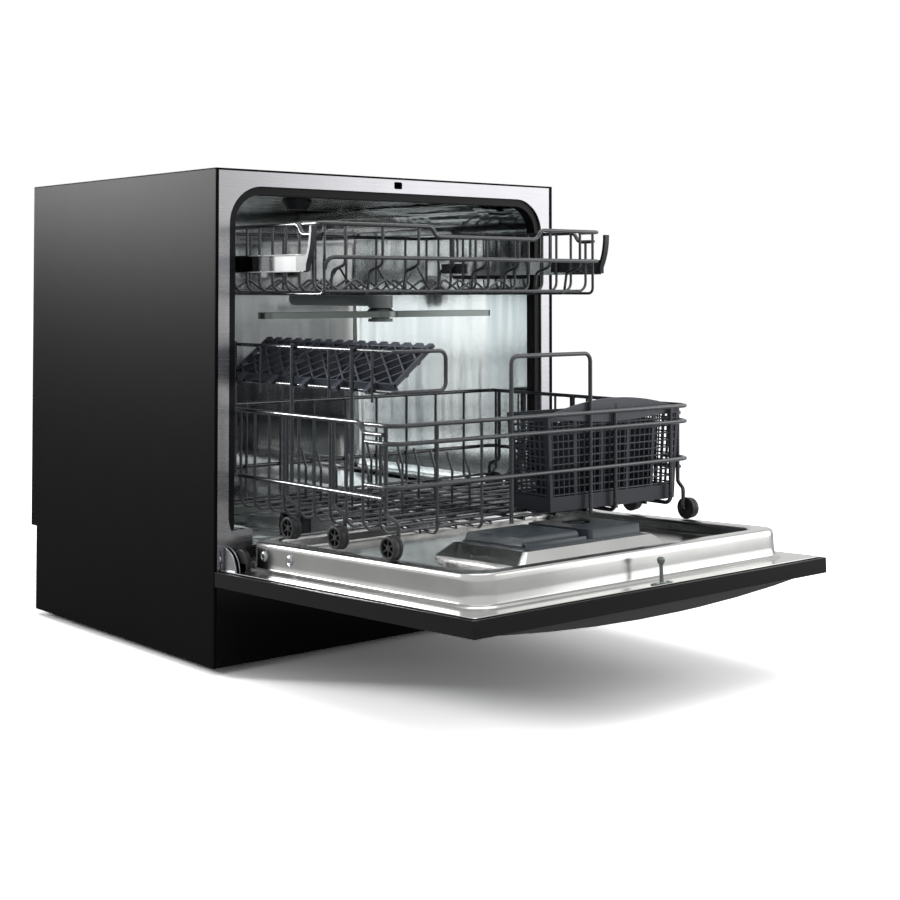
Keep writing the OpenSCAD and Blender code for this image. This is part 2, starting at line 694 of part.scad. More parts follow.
module door_liner() on_door() color(steel) {
    t = 1;
    difference() {
        union() {
            translate([-half_w + 5, -door_len + 5, door_in_z + fit])
                cube([cabinet_w - 10, door_len - hinge_drop - 7, t]);
            translate([0, 0, door_in_z + fit]) linear_extrude(4) liner_field(-4, 30);
            translate([0, 0, door_in_z + fit]) linear_extrude(liner_h - fit) liner_field(0, 28);
        }
        translate([0, 0, rim_z - liner_recess]) linear_extrude(liner_recess + 1) liner_field(rim_w, 22);
        translate([0, 0, door_in_z - 1]) linear_extrude(liner_h - liner_recess + 1 - t) liner_field(t, 27);
        translate([0, 0, door_in_z - 1]) linear_extrude(liner_h + 1 - t)
            difference() {
                liner_field(t, 27);
                liner_field(rim_w - t, 23);
            }
        both_sides() translate([-arm_x - arm_t - run, -82, door_in_z - 5]) cube([arm_t + 2 * run, 90, 10]);
    }
    translate([disp_x, disp_y, rim_z - liner_recess - t / 2]) pedestal();
}

// Bevelled pedestal: stepped slabs with chamfered edges around the dispenser
module pedestal() {
    h = ped_z - rim_z + liner_recess + 0.5;
    difference() {
        union() for (k = [0:3]) translate([0, 0, k * h / 4])
            linear_extrude(h / 4 + (k < 3 ? eps : 0)) rrect(disp_w + 54 - 12 * k, disp_d + 40 - 8 * k, 6);
        translate([0, 0, -1]) linear_extrude(h + 2) rrect(disp_w + 2 * fit, disp_d + 2 * fit, 4);
    }
}

module liner_screws() on_door() color(steel) both_sides() for (y = [-60, -112])
    translate([-liner_x - 2.2, y, door_in_z + 18]) rotate([0, 90, 0]) difference() {
        cylinder(h = 2.2 - fit / 2, d = 9);
        for (a = [0, 90]) rotate(a) translate([-3, -0.5, -1]) cube([6, 1, 2]);
    }

striker_y = -(latch_z - hinge_z);

module striker() on_door() color(steel) {
    translate([-9, striker_y - 5, door_in_z + fit + 1 + fit / 2]) cube([18, 10, 1.6]);
    bar([0, striker_y, door_in_z + 1.5], [0, striker_y, door_in_z + 25], 4);
    translate([0, striker_y, door_in_z + 25]) sphere(d = 8);
}

module dispenser_body() on_door() color(slate) translate([disp_x, disp_y, 0]) {
    base = rim_z - liner_recess + fit;
    difference() {
        union() {
            translate([0, 0, base]) linear_extrude(ped_z - base + 2) rrect(disp_w, disp_d, 4);
            translate([disp_w / 4 + 4, 0, ped_z + 1]) linear_extrude(11) rrect(disp_w / 2 - 8, disp_d - 4, 5);
        }
        translate([-disp_w / 4, 0, base + 3]) linear_extrude(40) rrect(disp_w / 2 - 24, disp_d - 40, 8);
        translate([disp_w / 4 + 4, 12, ped_z + 6]) cylinder(h = 10, d = 34);
        translate([disp_w / 4 + 4, 12, base + 3]) cylinder(h = 20, d = 22);
    }
    both_sides_y() translate([-disp_w / 2 + 3, -disp_d / 2 + 3, ped_z + 1.5]) cube([disp_w / 2, 3, 4]);
}

module both_sides_y() {
    children();
    mirror([0, 1, 0]) children();
}

lid_travel = 58;

// Sliding cover of the detergent cup, rounded over its long edges
module dispenser_lid() on_door() color(slate) translate([disp_x - disp_w / 4 - 2, disp_y, ped_z + 2 + run]) {
    w = disp_w / 2 - 6;
    d = disp_d - 15;
    translate([-w / 2, 0, 0]) rotate([90, 0, 90]) linear_extrude(w) {
        for (s = [-1, 1]) translate([s * (d / 2 - 5), 5]) circle(5);
        translate([-d / 2 + 5, 0]) square([d - 10, 10]);
        translate([-d / 2, 0]) square([d, 5]);
    }
    translate([-w / 2 + 8, 0, 9]) linear_extrude(1.5) rrect(8, 30, 2);
}

module rinse_cap() on_door() color(charcoal)
    translate([disp_x + disp_w / 4 + 4, disp_y + 12, ped_z + 6 + run]) {
        cylinder(h = 3, d = 33);
        translate([0, 0, 3 - eps]) linear_extrude(3) rrect(26, 7, 3);
        translate([0, 0, -5]) cylinder(h = 5 + eps, d = 21.4);
    }

// ---------- upper rack ----------

w_thin = thin_d - 0.5;                   // distance between the axes of two thin wires welded together
w_mix = (thin_d + wire_d) * 0.433 - 0.3; // the same for a thin wire on a frame wire

// Place of the upper rack's cross wire number i
function cross_y(i) = upper_front + 26 + i * (rack_len - 44) / 12;

module upper_rack() place() color(charcoal) {
    x = upper_x - wire_d / 2;
    front = upper_front + wire_d / 2;
    rear = upper_rear - wire_d / 2;
    mid_z = upper_top_z - 38;
    step = 12;                           // drop of the dip in the front and of the ends of the side wires
    post = 7;                            // corner posts, in from the outer wires
    dip = [-64, 116];                    // left and right end of the dip
    slope = 7;
    // frame wire of the sides and the back, stepped down to the corner posts
    wire([[-x + 5, front + 8, upper_top_z - step], [-x, front + 15, upper_top_z - step],
        [-x, front + 40, upper_top_z - step], [-x, front + 48, upper_top_z], [-x, rear, upper_top_z],
        [x, rear, upper_top_z], [x, front + 48, upper_top_z], [x, front + 40, upper_top_z - step],
        [x, front + 15, upper_top_z - step], [x - 5, front + 8, upper_top_z - step]], wire_d, 11);
    // front rail, round both corners and with a dip for the hand
    wire([[-x, front + 38, upper_top_z], [-x, front, upper_top_z], [dip[0], front, upper_top_z],
        [dip[0] + slope, front, upper_top_z - step], [dip[1] - slope, front, upper_top_z - step],
        [dip[1], front, upper_top_z], [x, front, upper_top_z], [x, front + 38, upper_top_z]], wire_d, 11);
    // middle rail, whose ends turn down beside the corner posts
    wire([[-x + 5, front + 3, mid_z - 14], [-x + 5, front, mid_z], [x, front, mid_z], [x, front + 34, mid_z]],
        wire_d, 9);
    // corner posts, bent back along the floor
    low = upper_floor_z - w_thin;
    for (s = [-1, 1]) wire([[s * (x - post), front + post, upper_top_z + 1],
        [s * (x - post), front + post, low], [s * (x - post), rear - w_mix, low]], thin_d, 7);
    // cross wires: down one side, over the floor and up the other side
    side = x - w_mix;
    for (i = [0:12]) {
        y = cross_y(i);
        top = upper_top_z - (i == 0 ? step : 0);
        wire([[-side, y, top], [-side, y, upper_floor_z], [side, y, upper_floor_z], [side, y, top]],
            thin_d, 12);
    }
    // long wires: down the front with a step inwards, along the floor and up the back
    for (i = [0:7]) {
        xx = -x + 34 + i * (2 * x - 68) / 7;
        top = xx > dip[0] && xx < dip[1] ? upper_top_z - step : upper_top_z;
        wire([[xx, front + w_mix, top], [xx, front + w_mix, mid_z - 8], [xx, front + 28, mid_z - 15],
            [xx, front + 33, low], [xx, rear - w_mix, low], [xx, rear - w_mix, upper_top_z]], thin_d, 7);
    }
    // rows of zigzag wire that hold the cups apart, each with one tall peak
    for (k = [3:3:9], i = [0:13]) rod([-168 + 24 * i, cross_y(k) + 2.6, upper_floor_z + peak(i)],
        [-144 + 24 * i, cross_y(k) + 2.6, upper_floor_z + peak(i + 1)], 3);
}

// Height of corner i of a zigzag wire
function peak(i) = i % 2 == 0 ? 0 : i == 7 ? 34 : 15;

module upper_rails() place() color(steel) both_sides() difference() {
    translate([-rail_in_x - rail_flange, rail_start, rail_z - rail_h / 2])
        cube([rail_flange, upper_rear - 4 - rail_start, rail_h]);
    translate([-rail_in_x - rail_flange - 1, rail_start - 1, rail_z - rail_h / 2 + rail_t])
        cube([rail_flange + 1 - rail_t, rack_len, rail_h - 2 * rail_t]);
}

// Curved clip that closes the front end of a rail, and the two blocks that hold the rail to the rack
module rail_end_clips() place() color(charcoal) both_sides() {
    plug = rail_h - 2 * rail_t - 2 * fit;
    facing_side(-rail_in_x - rail_flange + 0.5, rail_flange - 1) intersection() {
        translate([upper_front + 92, rail_z + 40]) difference() {
            circle(90, $fn = 120);
            circle(86, $fn = 120);
        }
        translate([upper_front, rail_z - rail_h / 2]) square([rail_start - fit - upper_front, 52]);
    }
    translate([-rail_in_x - rail_flange + 0.5, upper_front + 12, rail_z - plug / 2])
        cube([rail_flange - 0.5 - rail_t - fit, 20, plug]);
    inner = upper_x - wire_d / 2 - w_mix + thin_d / 2 + fit;
    for (y = [upper_front + 60, upper_front + 290]) translate([-rail_in_x + fit, y, rail_z - 7])
        cube([rail_in_x - fit - inner, 34, 14]);
}

feed_end = sheet + tub_depth - 6 - run - upper_out;

module mid_spray_feed() place() color(charcoal) {
    yc = upper_front + rack_len / 2 - 3;
    bar([0, yc, feed_z], [0, feed_end, feed_z], 18);
    translate([0, yc, feed_z - 11]) cylinder(h = 16, d = 32);
    translate([0, yc, feed_z - 26]) cylinder(h = 16, d = spindle_d);
    translate([0, yc, feed_z - 29]) cylinder(h = 4, d = 32);
}

module mid_spray_arm() place() color(steel)
    translate([0, upper_front + rack_len / 2 - 3, feed_z - 11 - run - 12]) spray_arm(mid_arm_r, 34, 8);

// ---------- lower rack ----------

loop_d = 4.4;
w_frame = wire_d * 0.866 - 0.3;          // distance between the axes of two frame wires welded together
seam = 0.05;                             // between wire ends that are welded to each other
loop_stub = 14;                          // length of the bent ends that hold the shelf's hinge wire
leg_x = wheel_x - wire_d / 2 - 1;        // wires that stand on the axles
post_x = lower_x - wire_d / 2 - w_frame; // posts and wheel brackets, welded inside the side wires
loop_x = post_x - (wire_d + loop_d) / 2 - seam;
loop_ys = [lower_front + 5, lower_rear - 18];
post_ys = [lower_front + 80, lower_front + 194, lower_front + 314];

module lower_rack() place() color(charcoal) {
    x = lower_x - wire_d / 2;
    front = lower_front + wire_d / 2;
    rear = lower_rear - wire_d / 2;
    side_mid = lower_floor_z + 38;
    low = lower_floor_z;
    step = 11;                           // drop of the ends of the top wire
    corner = wheel_ys[0] + wheel_step;   // where the side wires end, on the foremost wheel brackets
    // top wire of the sides and back, which steps down behind the ends of the front rails
    wire([[-x, corner, lower_top_z - step], [-x, front + 50, lower_top_z - step],
        [-x, front + 58, lower_top_z], [-x, rear, lower_top_z], [x, rear, lower_top_z],
        [x, front + 58, lower_top_z], [x, front + 50, lower_top_z - step],
        [x, corner, lower_top_z - step]], wire_d, 10);
    // middle wire of the sides and back
    wire([[-x, corner, side_mid], [-x, rear, side_mid], [x, rear, side_mid], [x, corner, side_mid]],
        wire_d, 10);
    // three front rails, round both corners
    for (z = [lower_top_z - 1, lower_top_z - 20, low + 50])
        wire([[-x, front + 47, z], [-x, front, z], [x, front, z], [x, front + 47, z]], wire_d, 16);
    // cross wires
    side = x - w_mix;
    first = front + 26;
    for (i = [0:11]) {
        y = first + i * (rear - front - 38) / 11;
        top = lower_top_z - (i == 0 ? step : 0);
        wire([[-side, y, top], [-side, y, low + 8], [-side + 8, y, low], [side - 8, y, low],
            [side, y, low + 8], [side, y, top]], thin_d, 9);
    }
    wheel_wires();
    cup_guard();
    // inverted loop at the front that holds the cutlery basket
    hoop_y = front + w_frame;
    wire([[-63, hoop_y, low - 3], [-63, hoop_y, lower_top_z + 68], [63, hoop_y, lower_top_z + 68],
        [63, hoop_y, low - 3]], wire_d, 9);
    // uprights of the front, whose feet run back under the floor: thin at the left, thick before the basket
    for (u = [[66 - lower_x, thin_d, w_mix, w_thin], [130 - lower_x, thin_d, w_mix, w_thin],
            [lower_x - 133, wire_d, w_frame, w_mix], [lower_x - 35, wire_d, w_frame, w_mix]])
        wire([[u[0], front + u[2], lower_top_z - 1], [u[0], front + u[2], low - u[3]],
            [u[0], first + 36, low - u[3]]], u[1], 7);
    // long wires of the floor, two of which carry rows of plate tines
    for (i = [0:7]) {
        xx = -x + 56 + i * (2 * x - 112) / 7;
        wire([[xx, first - 3, low - w_thin], [xx, rear - w_mix, low - w_thin],
            [xx, rear - w_mix, lower_top_z]], thin_d, 7);
        if (i == 1 || i == 3) for (k = [0:6]) {
            y = front + 118 + k * 32;
            rod([xx, y, low - w_thin], [xx, y, low + 40], thin_d - 0.4);
            rod([xx, y, low + 39.6], [xx, y + 10, low + 62], thin_d - 0.4);
        }
    }
}

// Wires that carry the wheels: down the side, then stepped forwards and inwards to stand on the axles
wheel_step = 14;
module wheel_wires() both_sides() for (i = [0:3]) {
    y = wheel_ys[i];
    top = i == 0 ? lower_top_z - 1 : lower_top_z + 1;
    wire([[-post_x, y + (i == 3 ? -wheel_step : wheel_step), top],
        [-post_x, y + (i == 3 ? -wheel_step : wheel_step), lower_floor_z + 20],
        [-leg_x, y, lower_floor_z + 13], [-leg_x, y, axle_z + wire_d / 2 + seam]], wire_d, 6);
}

// Posts and wire frame that carry the cup shelf and guard its open side
module cup_guard() {
    for (y = post_ys) rod([-post_x, y, lower_floor_z + 35], [-post_x, y, loop_top + 4], wire_d);
    end_x = -loop_x + 66;
    top_x = -loop_x - 0.5;
    wire([[-loop_x, loop_ys[0] + loop_stub, loop_low], [-loop_x, loop_ys[0], loop_low],
        [end_x, loop_ys[0], loop_low], [end_x, loop_ys[0], loop_top], [top_x, loop_ys[0], loop_top],
        [top_x, loop_ys[1], loop_top], [-loop_x, loop_ys[1], loop_low],
        [-loop_x, loop_ys[1] - loop_stub, loop_low]], loop_d, 9);
    for (y = [45, 124, 260, 330]) rod([-loop_x - 3.85, lower_front + y, loop_low - 12],
        [-loop_x - 3.85, lower_front + y, loop_top], thin_d - 0.4);
}

// Axles of the eight wheels and the wire that the cup shelf turns on
module rack_axles() place() color(charcoal) {
    both_sides() for (y = wheel_ys)
        bar([-wheel_x - wheel_w + 2 + run, y, axle_z], [-leg_x + wire_d / 2, y, axle_z], wire_d);
    bar([-loop_x, loop_ys[0] + loop_stub + seam, loop_low],
        [-loop_x, loop_ys[1] - loop_stub - seam, loop_low], loop_d);
}

// One wheel: tyre, six spokes, hub and an inner guide flange
module wheel(y) translate([-wheel_x - wheel_w, y, axle_z]) rotate([0, 90, 0]) color(charcoal)
    difference() {
        union() {
            difference() {
                cylinder(h = wheel_w, d = wheel_d);
                translate([0, 0, -1]) cylinder(h = 5, d = wheel_d - 7);
            }
            for (a = [0:60:300]) rotate(a) translate([3, -0.9, 0.8]) cube([wheel_r - 5, 1.8, 4]);
            cylinder(h = 5, d = 9);
        }
        translate([0, 0, 2]) cylinder(h = wheel_w + 2, d = wire_d + 2 * pin_play);
    }

module wheel_left_1() place() wheel(wheel_ys[0]);
module wheel_left_2() place() wheel(wheel_ys[1]);
module wheel_left_3() place() wheel(wheel_ys[2]);
module wheel_left_4() place() wheel(wheel_ys[3]);
module wheel_right_1() place() mirror([1, 0, 0]) wheel(wheel_ys[0]);
module wheel_right_2() place() mirror([1, 0, 0]) wheel(wheel_ys[1]);
module wheel_right_3() place() mirror([1, 0, 0]) wheel(wheel_ys[2]);
module wheel_right_4() place() mirror([1, 0, 0]) wheel(wheel_ys[3]);

// ---------- cup shelf ----------

shelf_t = 5;
shelf_ys = [lower_front + 20, lower_rear - 32];
clip_ys = [30, 88, 150, 215, 280];       // places of the clips, from the front of the shelf
clip_w = 9;

// Lattice of diamonds inside a border, drawn flat: X away from the hinge wire, Y along it
module shelf_lattice() {
    len = shelf_ys[1] - shelf_ys[0];
    pitch = 21;
    rows = floor((shelf_w - 22) / 9.5);
    difference() {
        translate([9, 0]) square([shelf_w - 9, len]);
        for (k = [0:rows - 1], j = [0:floor(len / pitch) - 1]) {
            y = (j + 0.5 + (k % 2) / 2) * pitch + 2;
            if (y < len - 12) translate([19 + k * 9.5, y])
                polygon([[-8, 0], [0, -9], [8, 0], [0, 9]]);
        }
        // stem rests along the raised edge
        for (j = [0:floor(len / pitch) - 1]) translate([shelf_w, (j + 0.5) * pitch + 2]) circle(5);
    }
}

module cup_shelf() place() color(charcoal) translate([-loop_x, shelf_ys[0], loop_low])
    rotate([0, -shelf_tilt, 0]) {
        len = shelf_ys[1] - shelf_ys[0];
        translate([0, 0, -shelf_t / 2]) linear_extrude(shelf_t) shelf_lattice();
        translate([9, 0, -shelf_t / 2 - 4]) cube([2.5, len, shelf_t + 4]);
        for (y = clip_ys) translate([0, y, 0]) rotate([-90, 0, 0]) difference() {
            union() {
                cylinder(h = clip_w, d = loop_d + 5);
                translate([0, -2.5, 0]) cube([10, 5, clip_w]);
            }
            translate([0, 0, -1]) cylinder(h = clip_w + 2, d = loop_d + 2 * pin_play);
        }
    }

// ---------- cutlery basket ----------

basket_z = lower_floor_z + thin_d / 2 + fit;     // standing on the cross wires
basket_t = 2.4;
basket_taper = 7;
basket_y = lower_front + wire_d * 1.9 + run;      // behind the front wires and the inverted loop
basket_x = lower_x - 15 - basket_w;               // its left end, clear of the bend of the front rails

// Block that tapers downwards, inset by t all round, from z0 up
module basket_block(t, z0) intersection() {
    facing_front(basket_y, basket_d) polygon([
        [basket_x + basket_taper + t, basket_z + z0], [basket_x + basket_w - basket_taper - t, basket_z + z0],
        [basket_x + basket_w - t, basket_z + basket_h + (z0 > 0 ? 5 : 0)],
        [basket_x + t, basket_z + basket_h + (z0 > 0 ? 5 : 0)]]);
    facing_side(basket_x, basket_w) polygon([
        [basket_y + 3 + t, basket_z + z0], [basket_y + basket_d - 3 - t, basket_z + z0],
        [basket_y + basket_d - t, basket_z + basket_h + (z0 > 0 ? 5 : 0)],
        [basket_y + t, basket_z + basket_h + (z0 > 0 ? 5 : 0)]]);
}

module cutlery_basket() place() color(slate) {
    rows = 5;
    row_h = (basket_h - 24) / rows;
    pitch = 8.2;
    n = floor((basket_w - 2 * basket_taper - 24) / pitch);
    m = floor((basket_d - 20) / pitch);
    difference() {
        basket_block(0, 0);
        basket_block(basket_t, basket_t);
        for (r = [0:rows - 1], i = [0:n - 1])
            translate([basket_x + basket_w / 2 + (i - n / 2) * pitch + 1.2, basket_y - 1,
                basket_z + 19 + r * row_h]) cube([pitch - 2.4, basket_d + 2, row_h - 2.4]);
        for (r = [0:rows - 1], i = [0:m - 1])
            translate([basket_x - 1, basket_y + basket_d / 2 + (i - m / 2) * pitch + 1.2,
                basket_z + 19 + r * row_h]) cube([basket_w + 2, pitch - 2.4, row_h - 2.4]);
        for (i = [0:9])
            translate([basket_x + 22 + i * (basket_w - 44) / 9, basket_y + basket_d / 2, basket_z - 1])
            cylinder(h = 6, d = 9);
    }
    // partitions
    for (i = [1:4]) translate([basket_x + i * basket_w / 5 - 0.9, basket_y + 2, basket_z + 1])
        cube([1.8, basket_d - 4, basket_h - 12]);
    // crescent grip along the front edge: its upper edge rises and its lower edge sags
    facing_front(basket_y, 3) translate([basket_x + basket_w / 2, basket_z + basket_h - 1]) intersection() {
        translate([0, 17 - crescent_r(17)]) circle(crescent_r(17), $fn = 240);
        translate([0, crescent_r(11) - 11]) circle(crescent_r(11), $fn = 300);
    }
}

// Radius of an arc over the basket's width that rises by h
function crescent_r(h) = (basket_w * basket_w / 4 + h * h) / (2 * h);

side_panel_left();
side_panel_right();
top_panel();
back_panel();
base_pan();
kick_plate();
levelling_feet();
front_frame();
tub();
door_gasket();
latch_receiver();
hinge_brackets();
door_springs();
roller_brackets();
roller_front_left();
roller_rear_left();
roller_front_right();
roller_rear_right();
ceiling_sprayer();
rear_feed_dock();
spray_hub();
lower_spray_arm();
filter();
sump();
circulation_pump();
drain_pump();
heater();
inlet_valve();
softener();
control_box();
drain_spigot();
power_inlet();
door_panel();
door_grip();
door_insulation();
door_liner();
liner_screws();
hinge_arms();
hinge_bushes();
striker();
dispenser_body();
dispenser_lid();
rinse_cap();
upper_rack();
upper_rails();
rail_end_clips();
mid_spray_feed();
mid_spray_arm();
lower_rack();
rack_axles();
wheel_left_1();
wheel_left_2();
wheel_left_3();
wheel_left_4();
wheel_right_1();
wheel_right_2();
wheel_right_3();
wheel_right_4();
cup_shelf();
cutlery_basket();
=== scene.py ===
"""Looks of the countertop dishwasher: finishes, bent wires, pressed sheet and mouldings.

Sizes are in millimetres up to the place of a piece, which turns them into metres."""
import json
import math

import bmesh
import bpy
from mathutils import Matrix, Vector


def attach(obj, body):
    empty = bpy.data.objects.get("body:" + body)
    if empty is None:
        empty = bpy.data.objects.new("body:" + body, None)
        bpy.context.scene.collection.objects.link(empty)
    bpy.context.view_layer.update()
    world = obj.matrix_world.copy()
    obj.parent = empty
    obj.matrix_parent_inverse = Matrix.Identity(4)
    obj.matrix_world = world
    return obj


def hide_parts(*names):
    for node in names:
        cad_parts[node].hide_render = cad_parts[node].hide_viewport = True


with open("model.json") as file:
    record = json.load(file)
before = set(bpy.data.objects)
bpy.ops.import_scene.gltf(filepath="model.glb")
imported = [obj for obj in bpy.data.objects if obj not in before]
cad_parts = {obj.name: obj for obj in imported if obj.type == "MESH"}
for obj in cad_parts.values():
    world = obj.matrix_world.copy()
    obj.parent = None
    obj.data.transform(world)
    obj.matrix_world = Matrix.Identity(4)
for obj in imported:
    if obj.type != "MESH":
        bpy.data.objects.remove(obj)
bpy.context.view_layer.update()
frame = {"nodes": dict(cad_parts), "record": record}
BODY_OF = {n: b for b, names in frame["record"]["behaviour"]["bodies"].items() for n in names}
SLOT_OF = {s["node"]: s["material_slot"] for s in frame["record"]["subparts"]}
sin, cos, pi = math.sin, math.cos, math.pi

# ---------- places ----------
# Pieces are drawn in millimetres from the cabinet's front plane and floor, or flat on the closed-down door.

LIFT = math.radians(2)                      # of the open door over its level stop
CABINET_DEEP, CABINET_TALL, CABINET_HALF = 478, 595, 275
PIN_Y, PIN_Z = 6, 128                       # the door's hinge pins
DOOR_LONG, DOOR_THICK = 467, 25
REACH = PIN_Y - DOOR_LONG * cos(LIFT) - DOOR_THICK * sin(LIFT)
BACK = (REACH + CABINET_DEEP) / 2
MILLIMETRES = Matrix.Diagonal((0.001, 0.001, 0.001, 1))
CABINET = MILLIMETRES @ Matrix.Translation((0, -BACK, 0))
DOOR = CABINET @ Matrix.Translation((0, PIN_Y, PIN_Z)) @ Matrix.Rotation(-LIFT, 4, "X")


# ---------- finishes ----------

def tone(code):
    """Linear colour of an sRGB hex value."""
    parts = [int(code[i:i + 2], 16) / 255 for i in (1, 3, 5)]
    return [c / 12.92 if c <= 0.04045 else ((c + 0.055) / 1.055) ** 2.4 for c in parts] + [1]


def add(tree, kind, settings=None, inputs=None):
    """One node with its settings; an input is a value or the socket that feeds it."""
    made = tree.nodes.new(kind)
    for key, value in (settings or {}).items():
        setattr(made, key, value)
    for key, value in (inputs or {}).items():
        if isinstance(value, bpy.types.NodeSocket):
            tree.links.new(value, made.inputs[key])
        else:
            made.inputs[key].default_value = value
    return made


def finish(name, light, dark, rough, patch=18, grain=2500, bump=0.06, stretch=(1, 1, 1), wave=0,
           streak=(1, 1, 1), hard=0.0, **fixed):
    """Surface whose colour drifts between two tones over patches, with a grain that sets bump and roughness.
    patch and grain are repeats per metre, stretch draws the grain out and streak the patches, hard sharpens
    the patches, wave adds the slow bulge of pressed sheet."""
    m = bpy.data.materials.new(name)
    m.use_nodes = True
    t = m.node_tree
    shader = t.nodes["Principled BSDF"]
    place = add(t, "ShaderNodeTexCoord").outputs["Object"]
    long = add(t, "ShaderNodeMapping", None, {"Vector": place, "Scale": streak})
    drift = add(t, "ShaderNodeTexNoise", None,
                {"Vector": long.outputs["Vector"], "Scale": patch, "Detail": 3})
    part = add(t, "ShaderNodeMapRange", None,
               {"Value": drift.outputs["Fac"], "From Min": 0.4 * hard, "From Max": 1 - 0.4 * hard})
    mix = add(t, "ShaderNodeMix", {"data_type": "RGBA"},
              {"Factor": part.outputs["Result"], "A": tone(light), "B": tone(dark)})
    t.links.new(mix.outputs["Result"], shader.inputs["Base Color"])
    drawn = add(t, "ShaderNodeMapping", None, {"Vector": place, "Scale": stretch})
    fine = add(t, "ShaderNodeTexNoise", None,
               {"Vector": drawn.outputs["Vector"], "Scale": grain, "Detail": 2})
    span = add(t, "ShaderNodeMapRange", None,
               {"Value": fine.outputs["Fac"], "To Min": rough * 0.8, "To Max": min(1, rough * 1.2)})
    t.links.new(span.outputs["Result"], shader.inputs["Roughness"])
    relief = add(t, "ShaderNodeBump", None,
                 {"Height": fine.outputs["Fac"], "Strength": bump, "Distance": 0.0002})
    if wave:
        slow = add(t, "ShaderNodeTexNoise", None,
                   {"Vector": long.outputs["Vector"], "Scale": 14, "Detail": 1})
        relief = add(t, "ShaderNodeBump", None,
                     {"Height": slow.outputs["Fac"], "Strength": wave, "Distance": 0.004,
                      "Normal": relief.outputs["Normal"]})
    t.links.new(relief.outputs["Normal"], shader.inputs["Normal"])
    for key, value in fixed.items():
        shader.inputs[key.replace("_", " ")].default_value = value
    return m


# Polyester powder coat on steel sheet: nearly black, fine orange peel, dull sheen
POWDER = finish("black_powder_coat", "#161617", "#121213", 0.42, grain=1500, bump=0.10, IOR=1.45,
                Specular_IOR_Level=0.03)
# Enamelled glass of the door front and plinth: nearly black, mirror gloss
GLOSS = finish("black_enamelled_glass", "#0b0b0c", "#080809", 0.16, grain=300, bump=0.01, IOR=1.5,
               Specular_IOR_Level=0.25)
# Satin paint on the folded edge of the door skin
EDGE = finish("black_satin_paint", "#1e1e1f", "#19191a", 0.42, grain=1800, bump=0.06, IOR=1.45,
              Specular_IOR_Level=0.025)
# Brushed stainless sheet, brush lines across the front
BRUSHED = finish("brushed_stainless_sheet", "#b4b4b7", "#a8a8ab", 0.26, grain=900, bump=0.08,
                 stretch=(0.02, 1, 1), Metallic=1)
# Bright annealed stainless, pressed: clear reflections that bend a little. Its colour runs in hard upright
# streaks from near white to a cool grey, which are painted reflections
BRIGHT = finish("bright_pressed_stainless", "#fafaf9", "#c6cdcf", 0.09, patch=6, grain=700, bump=0.015,
                wave=0.22,
                streak=(2.2, 2.2, 0.25), hard=0.6, Metallic=1)
# Rim of the liner: the same sheet, ground smoother
RIM = finish("ground_stainless_liner", "#d2d2d0", "#b6b6b4", 0.20, grain=900, bump=0.05,
             stretch=(0.03, 1, 1), wave=0.05, Metallic=1)
# Flange of the liner, more matt than the rim; its greyer colour is painted shade for the dark reflections
# along it
FLANGE = finish("matt_stainless_flange_painted_shade", "#8d8d8e", "#7a7a7b", 0.34, grain=900, bump=0.06, stretch=(0.05,
                1, 1),
                Metallic=1)
# Satin stainless of the spray arms, with a little green of the tub painted in as a reflection
SATIN = finish("satin_stainless_arm", "#7c8481", "#6c7471", 0.34, grain=900, bump=0.06, Metallic=1)
# Nylon dip coat on the rack wires: smooth and softly glossy, slate grey
NYLON = finish("grey_nylon_coated_wire", "#262b33", "#20252c", 0.28, patch=60, grain=500, bump=0.04,
               IOR=1.53,
               Coat_Weight=0.8, Coat_Roughness=0.06)
# Moulded polypropylene, light texture from the mould
CHARCOAL = finish("charcoal_moulded_polypropylene", "#2b2d31", "#25272b", 0.40, grain=1600, bump=0.10,
                  IOR=1.49)
SHELF = finish("slate_moulded_polypropylene_shelf", "#4a4f58", "#40444d", 0.36, grain=1600, bump=0.08,
               IOR=1.49)
SLATE = finish("slate_moulded_polypropylene", "#3c4048", "#343840", 0.38, grain=1600, bump=0.08, IOR=1.49)
BAND = finish("slate_polypropylene_grip", "#5c6068", "#535760", 0.42, grain=1600, bump=0.08, IOR=1.49)
GREY = finish("blue_grey_moulded_polypropylene", "#525a61", "#485057", 0.30, grain=1600, bump=0.06,
              IOR=1.49)
BLACK = finish("black_glass_filled_nylon", "#1d1d1e", "#161617", 0.42, grain=2200, bump=0.12, IOR=1.53)
RUBBER = finish("black_extruded_epdm", "#0f0f11", "#0a0a0c", 0.45, grain=1200, bump=0.08, IOR=1.45,
                Specular_IOR_Level=0.25)
PALE = finish("pale_grey_moulded_polypropylene", "#a4a9ab", "#979c9e", 0.4, grain=1600, bump=0.08, IOR=1.49)
ZINC = finish("zinc_plated_steel", "#b9bbbe", "#a5a8ac", 0.28, patch=90, grain=1300, bump=0.08, Metallic=1)
WHITE = finish("white_moulded_polypropylene", "#e4e3df", "#dad9d4", 0.45, grain=1600, bump=0.08, IOR=1.49)
FELT = finish("bitumen_faced_felt", "#4a443d", "#38332e", 0.9, patch=140, grain=2600, bump=0.5)

FINISH = {"panel_paint": POWDER, "gloss_black": GLOSS, "black_plastic": BLACK, "steel": BRIGHT, "zinc": ZINC,
          "gasket": RUBBER, "rack_coat": NYLON, "grey_plastic": CHARCOAL, "slate_plastic": SLATE,
          "white_plastic": WHITE, "felt": FELT}

# ---------- making pieces ----------


def smooth(mesh, angle=34):
    mesh.shade_smooth()
    mesh.set_sharp_from_angle(angle=math.radians(angle))


